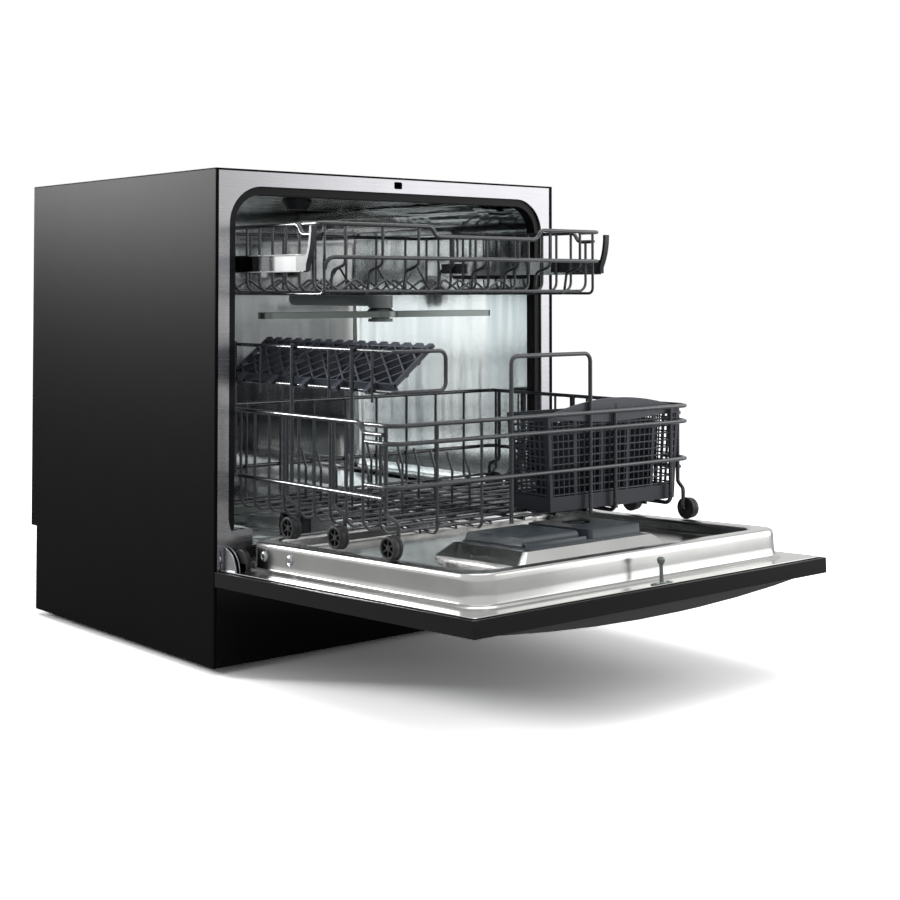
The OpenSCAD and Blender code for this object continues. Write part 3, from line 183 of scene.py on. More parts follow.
def piece(name, mesh, body, coat, nodes=(), round_edge=0.0, steps=2):
    """One finished piece, its mesh already in place, in metres; its faces number their finish from 0."""
    o = bpy.data.objects.new(name, mesh)
    bpy.context.scene.collection.objects.link(o)
    mesh.materials.clear()
    for c in coat if isinstance(coat, tuple) else (coat,):
        mesh.materials.append(c)
    smooth(mesh)
    if round_edge:
        b = o.modifiers.new("eased_edges", "BEVEL")
        b.width = round_edge / 1000
        b.segments = steps
        b.limit_method = "ANGLE"
        b.angle_limit = math.radians(40)
        b.harden_normals = False
    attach(o, body)
    if nodes:
        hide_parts(*nodes)
    return o


def from_bmesh(name, b, place=None):
    mesh = bpy.data.meshes.new(name)
    if place is not None:
        bmesh.ops.transform(b, matrix=place, verts=b.verts)
    b.to_mesh(mesh)
    b.free()
    return mesh


def eased(node, coat=None, edge=0.5, name=None, steps=2):
    """A CAD node's own shape with its seams merged and its edges rounded."""
    b = bmesh.new()
    b.from_mesh(frame["nodes"][node].data)
    bmesh.ops.remove_doubles(b, verts=b.verts, dist=1e-6)
    bmesh.ops.dissolve_limit(b, angle_limit=math.radians(1), verts=b.verts, edges=b.edges)
    return piece(name or node + "_body", from_bmesh(node, b), BODY_OF[node],
                 coat or FINISH[SLOT_OF[node]], [node], edge, steps)


def rounded(w, h, r, n=8):
    """Corner points of a rounded rectangle on its centre."""
    pts = []
    for k, (sx, sy) in enumerate([(1, 1), (-1, 1), (-1, -1), (1, -1)]):
        for i in range(n + 1):
            a = pi / 2 * (k + i / n)
            pts.append((sx * (w / 2 - r) + r * cos(a), sy * (h / 2 - r) + r * sin(a)))
    return pts


def loft(b, loops, closed=False, caps=(False, False)):
    """Skin through loops of points with equal counts."""
    rows = [[b.verts.new(p) for p in loop] for loop in loops]
    n = len(rows[0])
    for i in range(len(rows) if closed else len(rows) - 1):
        low, high = rows[i], rows[(i + 1) % len(rows)]
        for k in range(n):
            b.faces.new([low[k], low[(k + 1) % n], high[(k + 1) % n], high[k]])
    for want, row, turn in ((caps[0], rows[0], -1), (caps[1], rows[-1], 1)):
        if want:
            b.faces.new(row[::turn])
    return rows


def outward(b):
    bmesh.ops.remove_doubles(b, verts=b.verts, dist=0.002)
    bmesh.ops.recalc_face_normals(b, faces=b.faces)
    return b


def lathe(b, profile, at, axis="X", steps=48):
    """Closed profile of (along, radius) pairs turned about an axis through at."""
    loops = []
    for i in range(steps):
        a = 2 * pi * i / steps
        turn = [(s, r * cos(a), r * sin(a)) for s, r in profile]
        if axis == "Z":
            turn = [(y, z, x) for x, y, z in turn]
        elif axis == "Y":
            turn = [(y, x, z) for x, y, z in turn]
        loops.append([tuple(at[j] + p[j] for j in range(3)) for p in turn])
    loft(b, loops, closed=True)


# ---------- node trees for what repeats ----------


def new_tree(name, sockets):
    t = bpy.data.node_groups.new(name, "GeometryNodeTree")
    t.interface.new_socket("Geometry", in_out="OUTPUT", socket_type="NodeSocketGeometry")
    t.interface.new_socket("Geometry", in_out="INPUT", socket_type="NodeSocketGeometry")
    for label, kind in sockets:
        t.interface.new_socket(label, in_out="INPUT", socket_type="NodeSocket" + kind)
    return t, add(t, "NodeGroupInput").outputs, add(t, "NodeGroupOutput").inputs[0]


def close_tree(t, shape, given, out):
    real = add(t, "GeometryNodeRealizeInstances", None, {"Geometry": shape})
    done = add(t, "GeometryNodeSetMaterial", None,
               {"Geometry": real.outputs[0], "Material": given["Material"]})
    t.links.new(done.outputs[0], out)


def bent_wire_tree():
    """Round bars that follow the edges of a mesh, with bends of one radius."""
    t, given, out = new_tree("bent_wire", [("Diameter", "Float"), ("Bend Radius", "Float"), ("Sides", "Int"),
                                           ("Bend Steps", "Int"), ("Material", "Material")])
    line = add(t, "GeometryNodeMeshToCurve", None, {"Mesh": given["Geometry"]})
    bend = add(t, "GeometryNodeFilletCurve", {"mode": "POLY"},
               {"Curve": line.outputs[0], "Count": given["Bend Steps"], "Radius": given["Bend Radius"],
                "Limit Radius": True})
    half = add(t, "ShaderNodeMath", {"operation": "MULTIPLY"}, {0: given["Diameter"], 1: 0.5})
    ring = add(t, "GeometryNodeCurvePrimitiveCircle", None,
               {"Resolution": given["Sides"], "Radius": half.outputs[0]})
    skin = add(t, "GeometryNodeCurveToMesh", None,
               {"Curve": bend.outputs[0], "Profile Curve": ring.outputs[0], "Fill Caps": True})
    close_tree(t, skin.outputs[0], given, out)
    return t


def flat_rib_tree():
    """Upright flat ribs along the edges of a mesh that lies level."""
    t, given, out = new_tree("flat_ribs",
                             [("Thickness", "Float"), ("Depth", "Float"), ("Material", "Material")])
    line = add(t, "GeometryNodeMeshToCurve", None, {"Mesh": given["Geometry"]})
    level = add(t, "GeometryNodeSetCurveNormal", {"mode": "Z_UP"}, {"Curve": line.outputs[0]})
    bar = add(t, "GeometryNodeCurvePrimitiveQuadrilateral", {"mode": "RECTANGLE"},
              {"Width": given["Thickness"], "Height": given["Depth"]})
    skin = add(t, "GeometryNodeCurveToMesh", None,
               {"Curve": level.outputs[0], "Profile Curve": bar.outputs[0], "Fill Caps": True})
    close_tree(t, skin.outputs[0], given, out)
    return t


BENT_WIRE = bent_wire_tree()
FLAT_RIB = flat_rib_tree()


def grown(tree, seed, name, **inputs):
    """Plain mesh of what a tree makes from a seed mesh."""
    o = bpy.data.objects.new(name, seed)
    bpy.context.scene.collection.objects.link(o)
    mod = o.modifiers.new("grow", "NODES")
    mod.node_group = tree
    for item in tree.interface.items_tree:
        if item.in_out == "INPUT" and item.name in inputs:
            mod[item.identifier] = inputs[item.name]
    bpy.context.view_layer.update()
    mesh = bpy.data.meshes.new_from_object(o.evaluated_get(bpy.context.evaluated_depsgraph_get()))
    o.modifiers.remove(mod)
    bpy.data.objects.remove(o)
    mesh.name = name
    return mesh


def wires(name, paths, d, bend=8, sides=12, steps=5, coat=None, place=CABINET):
    """Mesh of wires of diameter d through paths in millimetres; a path whose ends meet is a ring."""
    verts, edges = [], []
    for p in paths:
        ring = len(p) > 2 and (Vector(p[0]) - Vector(p[-1])).length < 0.01
        pts = p[:-1] if ring else p
        start = len(verts)
        verts += [place @ Vector(q) for q in pts]
        edges += [(start + i, start + i + 1) for i in range(len(pts) - 1)]
        if ring:
            edges.append((start + len(pts) - 1, start))
    seed = bpy.data.meshes.new(name)
    seed.from_pydata(verts, edges, [])
    return grown(BENT_WIRE, seed, name, **{"Diameter": d / 1000, "Bend Radius": bend / 1000, "Sides": sides,
                                           "Bend Steps": steps, "Material": coat or NYLON})


def flat_ribs(name, lines, thick, depth, place, coat):
    """Mesh of ribs between pairs of level points in millimetres, turned into place."""
    verts = [[c / 1000 for c in p] for line in lines for p in line]
    seed = bpy.data.meshes.new(name)
    seed.from_pydata(verts, [(i, i + 1) for i in range(0, len(verts), 2)], [])
    mesh = grown(FLAT_RIB, seed, name, Thickness=thick / 1000, Depth=depth / 1000, Material=coat)
    mesh.transform(place @ Matrix.Diagonal((1000, 1000, 1000, 1)))
    return mesh


def joined(name, meshes, by_finish=False):
    """One mesh of several; by_finish numbers the faces of each after its place in the list."""
    b = bmesh.new()
    for i, m in enumerate(meshes):
        start = len(b.faces)
        b.from_mesh(m)
        b.faces.ensure_lookup_table()
        for f in b.faces[start:]:
            f.material_index = i if by_finish else 0
    return from_bmesh(name, b)


def block(b, low, high, warp=None):
    """Box between two corners; warp moves each corner."""
    v = [b.verts.new((warp or tuple)((x, y, z))) for z in (low[2], high[2]) for y in (low[1], high[1])
         for x in (low[0], high[0])]
    for k in ((0, 2, 3, 1), (4, 5, 7, 6), (0, 1, 5, 4), (2, 6, 7, 3), (0, 4, 6, 2), (1, 3, 7, 5)):
        b.faces.new([v[i] for i in k])


def plate(b, outline, low, high, put):
    """Flat outline given thickness from low to high; put turns (u, v, height) into a place."""
    loft(b, [[put(u, v, h) for u, v in outline] for h in (low, high)], caps=(True, True))


# ---------- sizes shared by the racks ----------

HOME = 44                                   # front of a rack that is pushed home
RACK = 374                                  # depth of a rack
LOW_FRONT, UP_FRONT = HOME - 334, HOME - 191
LOW_REAR, UP_REAR = LOW_FRONT + RACK, UP_FRONT + RACK
WHEEL_Y = [LOW_FRONT + 6, LOW_FRONT + 100, LOW_FRONT + 190, LOW_REAR - 8]
AXLE_Z = 128 + (28 + 13.5 + 0.3 + (6 - WHEEL_Y[0]) * sin(LIFT)) / cos(LIFT)
LOW_FLOOR = AXLE_Z + 12
UP_TOP, UP_FLOOR = 526, 449
THICK, THIN = 5.0, 3.6
FRAME_GAP = (THICK + THIN) * 0.433 - 0.3    # between the axes of a thin and a thick wire
THICK_GAP = THICK * 0.866 - 0.3             # between the axes of two thick wires
THIN_GAP = THIN - 0.5
LOOP_TOP, LOOP_LOW, LOW_TOP = 385, 342, 308
POST_X = 238 - THICK / 2 - THICK_GAP        # posts, inside the side wires of the lower rack
LOOP_X = POST_X - 4.7 - 0.05
LEG_X = 225.5                               # wires that stand on the axles
WHEEL_FACE = 241                            # outer face of the wheels
LINER_X, LINER_SCREW_Z = 240.4, 12          # wall of the raised field of the door liner, in the door's frame


def mirrored(paths):
    return paths + [[(-x, y, z) for x, y, z in p] for p in paths]


# ---------- upper rack ----------

def upper_rack():
    x, front, rear = 223.5, UP_FRONT + 2.5, UP_REAR - 2.5
    mid, dip, low = UP_TOP - 38, UP_TOP - 12, UP_FLOOR - THIN_GAP
    left = [(-x + 5, front + 8, dip), (-x, front + 15, dip), (-x, front + 40, dip), (-x, front + 48, UP_TOP),
            (-x, rear, UP_TOP)]
    frame_wire = left + [(-a, y, z) for a, y, z in reversed(left)]
    front_rail = [(-x, front + 38, UP_TOP), (-x, front, UP_TOP), (-64, front, UP_TOP), (-57, front, dip),
                  (109, front, dip), (116, front, UP_TOP), (x, front, UP_TOP), (x, front + 38, UP_TOP)]
    middle_rail = [(-x + 5, front + 3, mid - 14), (-x + 5, front, mid), (x, front, mid), (x, front + 34, mid)]
    posts = [[(s * (x - 7), front + 7, UP_TOP + 1), (s * (x - 7), front + 7, low),
              (s * (x - 7), rear - FRAME_GAP, low)] for s in (-1, 1)]
    side = x - FRAME_GAP
    rows = [UP_FRONT + 26 + i * (RACK - 44) / 12 for i in range(13)]
    cross = [[(-side, y, z), (-side, y, UP_FLOOR), (side, y, UP_FLOOR), (side, y, z)]
             for y, z in zip(rows, [dip] + [UP_TOP] * 12)]
    f, long = front + FRAME_GAP, []
    for i in range(8):
        xx = -x + 34 + i * (2 * x - 68) / 7
        top = dip if -64 < xx < 116 else UP_TOP
        long.append([(xx, f, top), (xx, f, mid - 8), (xx, front + 28, mid - 15), (xx, front + 33, low),
                     (xx, rear - FRAME_GAP, low), (xx, rear - FRAME_GAP, UP_TOP)])
    peaks = [0 if i % 2 == 0 else 34 if i == 7 else 15 for i in range(15)]
    zigzags = [[(-168 + 24 * i, rows[k] + 2.6, UP_FLOOR + peaks[i]) for i in range(15)] for k in (3, 6, 9)]
    parts = [wires("frame", [frame_wire, front_rail, middle_rail], THICK, 11, 14, 6),
             wires("posts", posts, THIN, 7),
             wires("cross", cross, THIN, 12),
             wires("long", long, THIN, 7),
             wires("zigzags", zigzags, 3.0, 5, 10, 5)]
    piece("upper_rack_wires", joined("upper_rack_wires", parts), "upper_rack", NYLON,
          ["upper_rack"])


# ---------- lower rack ----------

def lower_rack():
    x, front, rear = 235.5, LOW_FRONT + 2.5, LOW_REAR - 2.5
    mid, low = LOW_FLOOR + 38, LOW_FLOOR - THIN_GAP
    corner = WHEEL_Y[0] + 14
    step = 11                               # drop of the top wire at the front corners
    left = [(-x, corner, LOW_TOP - step), (-x, front + 50, LOW_TOP - step), (-x, front + 58, LOW_TOP),
            (-x, rear, LOW_TOP)]
    top_wire = left + [(-a, y, z) for a, y, z in reversed(left)]
    middle_wire = [(-x, corner, mid), (-x, rear, mid), (x, rear, mid), (x, corner, mid)]
    rails = [[(-x, front + 47, z), (-x, front, z), (x, front, z), (x, front + 47, z)]
             for z in (LOW_TOP - 1, LOW_TOP - 20, LOW_FLOOR + 50)]
    hoop_y = front + THICK_GAP
    hoop_half, hoop_top = 63, LOW_TOP + 68
    hoop = [(-hoop_half, hoop_y, LOW_FLOOR - 3), (-hoop_half, hoop_y, hoop_top),
            (hoop_half, hoop_y, hoop_top), (hoop_half, hoop_y, LOW_FLOOR - 3)]
    side, first, cross = x - FRAME_GAP, front + 26, []
    for i in range(12):
        y = first + i * (rear - front - 38) / 11
        top = LOW_TOP - (0 if i else step)
        cross.append([(-side, y, top), (-side, y, LOW_FLOOR + 8), (-side + 8, y, LOW_FLOOR),
                      (side - 8, y, LOW_FLOOR), (side, y, LOW_FLOOR + 8), (side, y, top)])
    uprights = [[(u, front + gap, LOW_TOP - 1), (u, front + gap, LOW_FLOOR - under),
                 (u, first + 36, LOW_FLOOR - under)]
                for u, gap, under in ((-172, FRAME_GAP, THIN_GAP), (-108, FRAME_GAP, THIN_GAP),
                                      (105, THICK_GAP, FRAME_GAP), (203, THICK_GAP, FRAME_GAP))]
    long, tines = [], []
    for i in range(8):
        xx = -x + 56 + i * (2 * x - 112) / 7
        long.append([(xx, first - 3, low), (xx, rear - FRAME_GAP, low), (xx, rear - FRAME_GAP, LOW_TOP)])
        if i in (1, 3):
            tines += [[(xx, y, low), (xx, y, LOW_FLOOR + 40), (xx, y + 10, LOW_FLOOR + 62)]
                      for y in (front + 118 + k * 32 for k in range(7))]
    wheel_wires = mirrored([
        [(-POST_X, y + s, top), (-POST_X, y + s, LOW_FLOOR + 20), (-LEG_X, y, LOW_FLOOR + 13),
         (-LEG_X, y, AXLE_Z), (-(WHEEL_FACE - 2.3), y, AXLE_Z)]
        for y, s, top in zip(WHEEL_Y, (14, 14, 14, -14), [LOW_TOP - 1] + [LOW_TOP + 1] * 3)])
    posts = [[(-POST_X, LOW_FRONT + y, LOW_FLOOR + 35), (-POST_X, LOW_FRONT + y, LOOP_TOP + 4)]
             for y in (80, 194, 314)]
    y0, y1, top_x, inner = LOW_FRONT + 5, LOW_REAR - 18, LOOP_X + 0.5, 66 - LOOP_X
    guard = [(-LOOP_X, y0, LOOP_LOW), (inner, y0, LOOP_LOW), (inner, y0, LOOP_TOP), (-top_x, y0, LOOP_TOP),
             (-top_x, y1, LOOP_TOP), (-LOOP_X, y1, LOOP_LOW), (-LOOP_X, y0, LOOP_LOW)]
    bar_x = -LOOP_X - 3.85
    bars = [[(bar_x, LOW_FRONT + y, LOOP_LOW - 12), (bar_x, LOW_FRONT + y, LOOP_TOP)]
            for y in (45, 124, 260, 330)]
    parts = [wires("frame", [top_wire, middle_wire], THICK, 10, 14, 6),
             wires("hoop", [hoop], THICK, 9, 14, 6),
             wires("rails", rails, THICK, 16, 14, 8),
             wires("cross", cross, THIN, 9),
             wires("long", long + uprights[:2], THIN, 7),
             wires("tines", tines, 3.2, 8),
             wires("wheel_wires", wheel_wires, THICK, 5, 14, 5),
             wires("posts", posts, THICK, 6, 14),
             wires("guard", [guard], 4.4, 9, 14, 6),
             wires("bars", bars, 3.2, 6),
             wires("uprights", uprights[2:], THICK, 9, 14, 6)]
    piece("lower_rack_wires", joined("lower_rack_wires", parts), "lower_rack", NYLON,
          ["lower_rack", "rack_axles"])


# ---------- wheels ----------

def wheel(node, s, y):
    """Tyre with a rounded tread and an inner flange, and six spokes round the hub on its outer face."""
    at = (0, y, AXLE_Z)
    # pairs of depth behind the outer face and radius: tread, flange, back and bore
    tyre = [(1.0, 9.4), (0.2, 10.0), (0, 11.0), (0.3, 12.2), (1.4, 12.5), (3.4, 12.8), (6.6, 12.8),
            (8.0, 12.2), (8.6, 12.9), (9.4, 13.5), (11.4, 13.5), (12, 13.0), (12, 5.2), (11.2, 4.6),
            (11.2, 2.8), (8, 2.8), (8, 8.6), (6.5, 9.2)]
    hub = [(1.2, 0.0), (1.2, 2.9), (1.8, 3.5), (8, 3.7), (8, 0.0)]
    a = bmesh.new()
    lathe(a, [(s * (WHEEL_FACE - p), r) for p, r in tyre], at)
    outward(a)
    c = bmesh.new()
    lathe(c, [(s * (WHEEL_FACE - p), r) for p, r in hub], at, steps=24)
    for k in range(6):
        turn = Matrix.Translation(at) @ Matrix.Rotation(pi / 3 * k, 4, "X")
        block(c, (s * (WHEEL_FACE - 7), -0.75, 2.8), (s * (WHEEL_FACE - 1.6), 0.75, 10.2),
              lambda p, m=turn: m @ Vector(p))
    outward(c)
    # the web behind the spokes is part of the tyre profile and takes its near-black finish: painted shade in
    # the hollows between the spokes
    mesh = joined(node, [from_bmesh("tyre", a, CABINET), from_bmesh("spokes", c, CABINET)], True)
    piece(node + "_rolled", mesh, node, (TYRE, SPOKE), [node])


# ---------- cup shelf ----------

def cup_shelf():
    """Lattice of crossed ribs in a border, clipped to its hinge wire; its raised edge is scalloped."""
    length, width, pitch, thick = 322, 79, 21, 5
    tilt = Matrix.Rotation(math.radians(-38), 4, "Y")
    place = CABINET @ Matrix.Translation((-LOOP_X, LOW_FRONT + 20, LOOP_LOW)) @ tilt
    first, last, mesh_pitch, slope = 11, width - 6, 29, 1.4
    ribs = []
    for way in (-1, 1):
        for k in range(-4, 16):
            v0 = k * mesh_pitch + 5
            ends = clipped([(first, v0), (last, v0 + way * slope * (last - first))], 3, length - 3)
            if ends:
                ribs.append([(u, v, 0) for u, v in ends])
    sunk = place @ Matrix.Translation((0, 0, -1.6))
    lattice = flat_ribs("lattice", ribs, 1.8, 8.0, sunk, SHELF)
    b = bmesh.new()
    notch, n = 5.0, 6
    edge = [(last, 0), (last, length)]
    for j in range(int(length / pitch) - 1, -1, -1):
        v = (j + 0.5) * pitch + 2
        edge += [(width - notch * sin(pi * i / n), v + notch * cos(pi * i / n)) for i in range(n + 1)]
    edge = [(last - 2, length), (width, length)] + edge[2:] + [(width, 0), (last - 2, 0)]
    plate(b, edge, -thick / 2, thick / 2, lambda u, v, h: (u, v, h))
    block(b, (9, 0, -thick / 2 - 4), (11.5, length, thick / 2))
    block(b, (9, 0, -thick / 2), (width - 5, 4, thick / 2))
    block(b, (9, length - 4, -thick / 2), (width - 5, length, thick / 2))
    for v in (107, 214):
        block(b, (9, v - 1.2, -thick / 2 - 1.5), (width - 5, v + 1.2, thick / 2))
    # clips round the hinge wire, each with a tab that hangs down
    for v in (30, 88, 150, 215, 280):
        block(b, (-1, v, 1.6), (10, v + 9, 4.7))
        block(b, (-4.7, v, -1.5), (-2.4, v + 9, 3.4))
        block(b, (-4.7, v, 2.3), (1, v + 9, 4.7))
        block(b, (2.4, v, -4.4), (10, v + 9, -2.0))
        block(b, (4.5, v + 1, -4.4), (9.5, v + 8, 4.6))
        block(b, (9.5, v + 2.5, -13), (11.5, v + 6.5, -2))
    outward(b)
    mesh = joined("cup_shelf_lattice", [from_bmesh("border", b, place), lattice])
    piece("cup_shelf_lattice", mesh, "cup_shelf", SHELF, ["cup_shelf"], 0.35)


def clipped(span, low, high):
    """The part of a flat line between two values of its second coordinate, or None."""
    (u0, v0), (u1, v1) = span
    if v1 == v0:
        return span if low < v0 < high else None
    t0, t1 = sorted(((low - v0) / (v1 - v0), (high - v0) / (v1 - v0)))
    t0, t1 = max(0, t0), min(1, t1)
    if t1 - t0 < 0.03:
        return None
    return [(u0 + t * (u1 - u0), v0 + t * (v1 - v0)) for t in (t0, t1)]


# ---------- cutlery basket ----------

def cutlery_basket():
    """Five cells with walls of thin ribs between a solid foot and a rim, and a crescent grip in front."""
    x0, y0, z0 = -3, LOW_FRONT + 9.8, LOW_FLOOR + 2.0
    width, depth, tall = 226, 70, 112

    def seat(p):
        """Tapers the basket towards its foot."""
        s, t, z = p
        k = 1 - z / tall
        return (x0 + 7 * k + s * (width - 14 * k) / width, y0 + 3 * k + t * (depth - 6 * k) / depth, z0 + z)

    wall, foot, rim = 2.0, 17, 104
    b = bmesh.new()
    for t in (0, depth - wall):
        block(b, (0, t, 0), (width, t + wall, foot), seat)
        block(b, (0, t, rim), (width, t + wall, tall), seat)
    for s in (0, width - wall):
        block(b, (s, 0, 0), (s + wall, depth, foot), seat)
        block(b, (s, 0, rim), (s + wall, depth, tall), seat)
        for t in (0, depth - 5):
            block(b, (s - (3 if s else 0), t, foot - 1), (s + wall + (0 if s else 3), t + 5, rim + 1), seat)
    block(b, (1, 1, 0), (width - 1, depth - 1, 2.2), seat)
    for i in range(1, 5):
        s = width * i / 5
        block(b, (s - 0.9, wall, 2), (s + 0.9, depth - wall, 100), seat)
        for t in (0.4, depth - 2.4):
            block(b, (s - 2.2, t, foot), (s + 2.2, t + 2.0, rim), seat)
    outward(b)
    solid = from_bmesh("walls", b, CABINET)
    cell = 8.8
    rows = [19 + cell * r for r in range(10)]
    ribs = []
    for t in (1.2, depth - 1.2):
        ribs += [[seat((0, t, z)), seat((width, t, z))] for z in rows]
        ribs += [[seat((7 + cell * i, t, foot - 1)), seat((7 + cell * i, t, rim + 1))] for i in range(25)]
    for s in (1.2, width - 1.2):
        ribs += [[seat((s, 1, z)), seat((s, depth - 1, z))] for z in rows]
        ribs += [[seat((s, 8 + cell * i, foot - 1)), seat((s, 8 + cell * i, rim + 1))] for i in range(7)]
    lattice = wires("ribs", ribs, 2.3, 0.1, 6, 1, SLATE)
    g = bmesh.new()
    n, upper, lower = 28, 17, 11
    top = [(width * i / n, tall - 1 + upper * (1 - (2 * i / n - 1) ** 2)) for i in range(n + 1)]
    bottom = [(width * i / n, tall - 1.2 - lower * (1 - (2 * i / n - 1) ** 2)) for i in range(n, -1, -1)]
    rows_of = [[(x0 + u, y0 + h, z0 + v) for u, v in top + bottom] for h in (0.0, 3.0)]
    loft(g, rows_of, caps=(True, True))
    outward(g)
    grip = from_bmesh("grip", g, CABINET)
    # a thin black tab on the front of the grip stands for the slot through it: painted shade, no opening is
    # cut
    d = bmesh.new()
    block(d, (x0 + width / 2 - 2, y0 - 0.15, z0 + tall + 2), (x0 + width / 2 + 2, y0 + 1, z0 + tall + 9))
    outward(d)
    slot = from_bmesh("slot", d, CABINET)
    piece("cutlery_basket_moulding", joined("cutlery_basket_moulding", [solid, lattice]), "cutlery_basket",
          SLATE, ["cutlery_basket"], 0.3)
    piece("cutlery_basket_grip", grip, "cutlery_basket", BAND, (), 0.8)
    piece("cutlery_basket_slot_painted_shade", slot, "cutlery_basket", BLACK)


# ---------- door liner ----------

def ring(w, h, cy, r, z, n=10):
    return [(x, cy + y, z) for x, y in rounded(w, h, r, n)]


def door_liner():
    """Flange, step and raised rim with rolled edges, recessed field, bevelled seat of the dispenser."""
    near, far, half = 22, 433, 241
    cy = -(near + far) / 2

    def field(inset, r, z):
        return ring(2 * (half - inset), far - near - 2 * inset, cy, max(r, 1), z)

    fc = -(9 + 462) / 2
    loops = [ring(538, 451, fc, 4, -6.8), ring(540, 453, fc, 5, -6.2), ring(539, 452, fc, 5, -5.6),
             field(-9, 34, -5.6), field(-7, 33, -5.4), field(-5.5, 32, -4.4), field(-4.6, 31, -3.4),
             field(-3.4, 30, -2.8), field(-1.6, 29, -2.6), field(-0.6, 28.5, -2.0), field(0, 28, -0.6),
             field(0.4, 28, 8), field(0.9, 27.5, 20), field(1.3, 27, 24), field(2.2, 26, 26.4),
             field(3.6, 25, 27.6), field(5.6, 24, 28), field(18, 22, 28), field(20.5, 22, 27.4),
             field(22.4, 21, 25.8), field(23.3, 20, 23.5), field(24.6, 19, 16.5), field(25.4, 19, 14.4),
             field(27, 18, 13.3), field(29.5, 17, 13)]
    b = bmesh.new()
    rows = loft(b, loops, caps=(True, False))
    # the field around the hole that the dispenser sits in
    long, deep, dy = 184, 108, -292         # dispenser
    w, d = long + 54, deep + 40
    seat = [ring(w, d, dy, 8, 13), ring(w - 1, d - 1, dy, 8, 15.6), ring(w - 3, d - 3, dy, 7, 16.4),
            ring(long + 19, deep + 15, dy, 5, 28.2), ring(long + 16, deep + 12, dy, 4, 29),
            ring(long + 0.6, deep + 0.6, dy, 4, 29), ring(long + 0.6, deep + 0.6, dy, 4, 20)]
    more = loft(b, seat)
    inner, outer = more[0], rows[-1]
    n = len(inner)
    for k in range(n):
        b.faces.new([outer[k], outer[(k + 1) % n], inner[(k + 1) % n], inner[k]])
    outward(b)
    # faces under the rim take the greyer flange finish: painted shade
    for f in b.faces:
        f.material_index = 1 if f.calc_center_median().z < -5 else 0
    mesh = from_bmesh("door_liner", b, DOOR)
    piece("door_liner_pressing", mesh, "door", (RIM, FLANGE), ["door_liner"])


def door_panel():
    """Glass front, satin painted folded edges."""
    b = bmesh.new()
    b.from_mesh(frame["nodes"]["door_panel"].data)
    bmesh.ops.remove_doubles(b, verts=b.verts, dist=1e-6)
    bmesh.ops.dissolve_limit(b, angle_limit=math.radians(1), verts=b.verts, edges=b.edges)
    out = (DOOR.to_3x3() @ Vector((0, 0, -1))).normalized()
    for f in b.faces:
        f.material_index = 0 if f.normal.dot(out) > 0.7 else 1
    piece("door_panel_skin", from_bmesh("door_panel", b), "door", (GLOSS, EDGE),
          ["door_panel"], 0.7)


def hinge_lugs():
    """Two pressed quarter-round lugs on each side of the door, the outer one with the head of its pin,
    and the black cam of the counterbalance beside them."""
    b, c = bmesh.new(), bmesh.new()
    flange, reach = -6.4, 28
    quarter = [(-11 - reach * sin(a), flange + reach * cos(a))
               for a in (math.radians(9 * i) for i in range(11))]
    heel = [(1 - 8 + 8 * cos(a), flange + reach - 8 + 8 * sin(a))
            for a in (math.radians(18 * i) for i in range(6))]
    outline = [(1, flange)] + heel + quarter
    for s in (-1, 1):
        for near in (258.5, 264):
            plate(b, outline, near, near + 2, lambda u, v, h, s=s: (s * h, u, v))
        lathe(b, [(s * p, r) for p, r in ((266, 4.6), (267.6, 4.4), (268.2, 3.4), (267.4, 2.6), (267.2, 0))],
              (0, -5, 6), "X", 28)
        cam = [(257.6, 0), (257.6, 14.2), (256.8, 15), (252.4, 15), (251.6, 14.2), (251.6, 0)]
        lathe(c, [(s * p, r) for p, r in cam], (0, -36, 5), "X", 48)
        block(c, (min(s * 252, s * 257.6), -48, flange), (max(s * 252, s * 257.6), -24, 4))
    outward(b)
    outward(c)
    piece("hinge_lugs", from_bmesh("hinge_lugs", b, DOOR), "door", ZINC, ["hinge_arms"], 0.5)
    piece("hinge_cams", from_bmesh("hinge_cams", c, DOOR), "door", BLACK, (), 0.3)


def liner_screws():
    """Cross-head screws in the side walls of the liner."""
    head = [(0, 6.2), (0.9, 6.0), (1.9, 4.8), (2.1, 3.4), (1.2, 2.6), (0.6, 1.4), (0.5, 0)]
    b = bmesh.new()
    for s in (-1, 1):
        for y in (-60, -112):
            lathe(b, [(s * (LINER_X + p), r) for p, r in head], (0, y, LINER_SCREW_Z), "X", 28)
            for w, h in ((0.9, 4.2), (4.2, 0.9)):
                block(b, (min(s * LINER_X, s * (LINER_X + 1.5)), y - w, LINER_SCREW_Z - h),
                      (max(s * LINER_X, s * (LINER_X + 1.5)), y + w, LINER_SCREW_Z + h))
    outward(b)
    piece("liner_screw_heads", from_bmesh("liner_screws", b, DOOR), "door", ZINC, ["liner_screws"])


def striker():
    """Pin with a round head that the latch grips, on a small riveted plate."""
    y = -456.9
    b = bmesh.new()
    pin = [(-5.7, 0), (-5.7, 3.2), (-4.6, 3.2), (-3.6, 2.2), (14, 2.0), (15.2, 3.0), (17.5, 4.0), (20, 4.3),
           (21.6, 3.4), (22.4, 1.8), (22.6, 0)]
    lathe(b, pin, (0, y, 0), "Z", 32)
    outward(b)
    c = bmesh.new()
    plate(c, [(u, y + v) for u, v in rounded(30, 9, 4)], -5.8, -4.4, lambda u, v, h: (u, v, h))
    for s in (-10, 10):
        lathe(c, [(-4.6, 0), (-4.6, 2.2), (-3.8, 1.8), (-3.4, 0)], (s, y, 0), "Z", 16)
    outward(c)
    mesh = joined("striker", [from_bmesh("pin", b, DOOR), from_bmesh("foot", c, DOOR)])
    # the satin finish carries a green tint painted in as a reflection of the tub
    piece("striker_pin", mesh, "door", SATIN, ["striker"])


# ---------- folded edges of the cabinet ----------

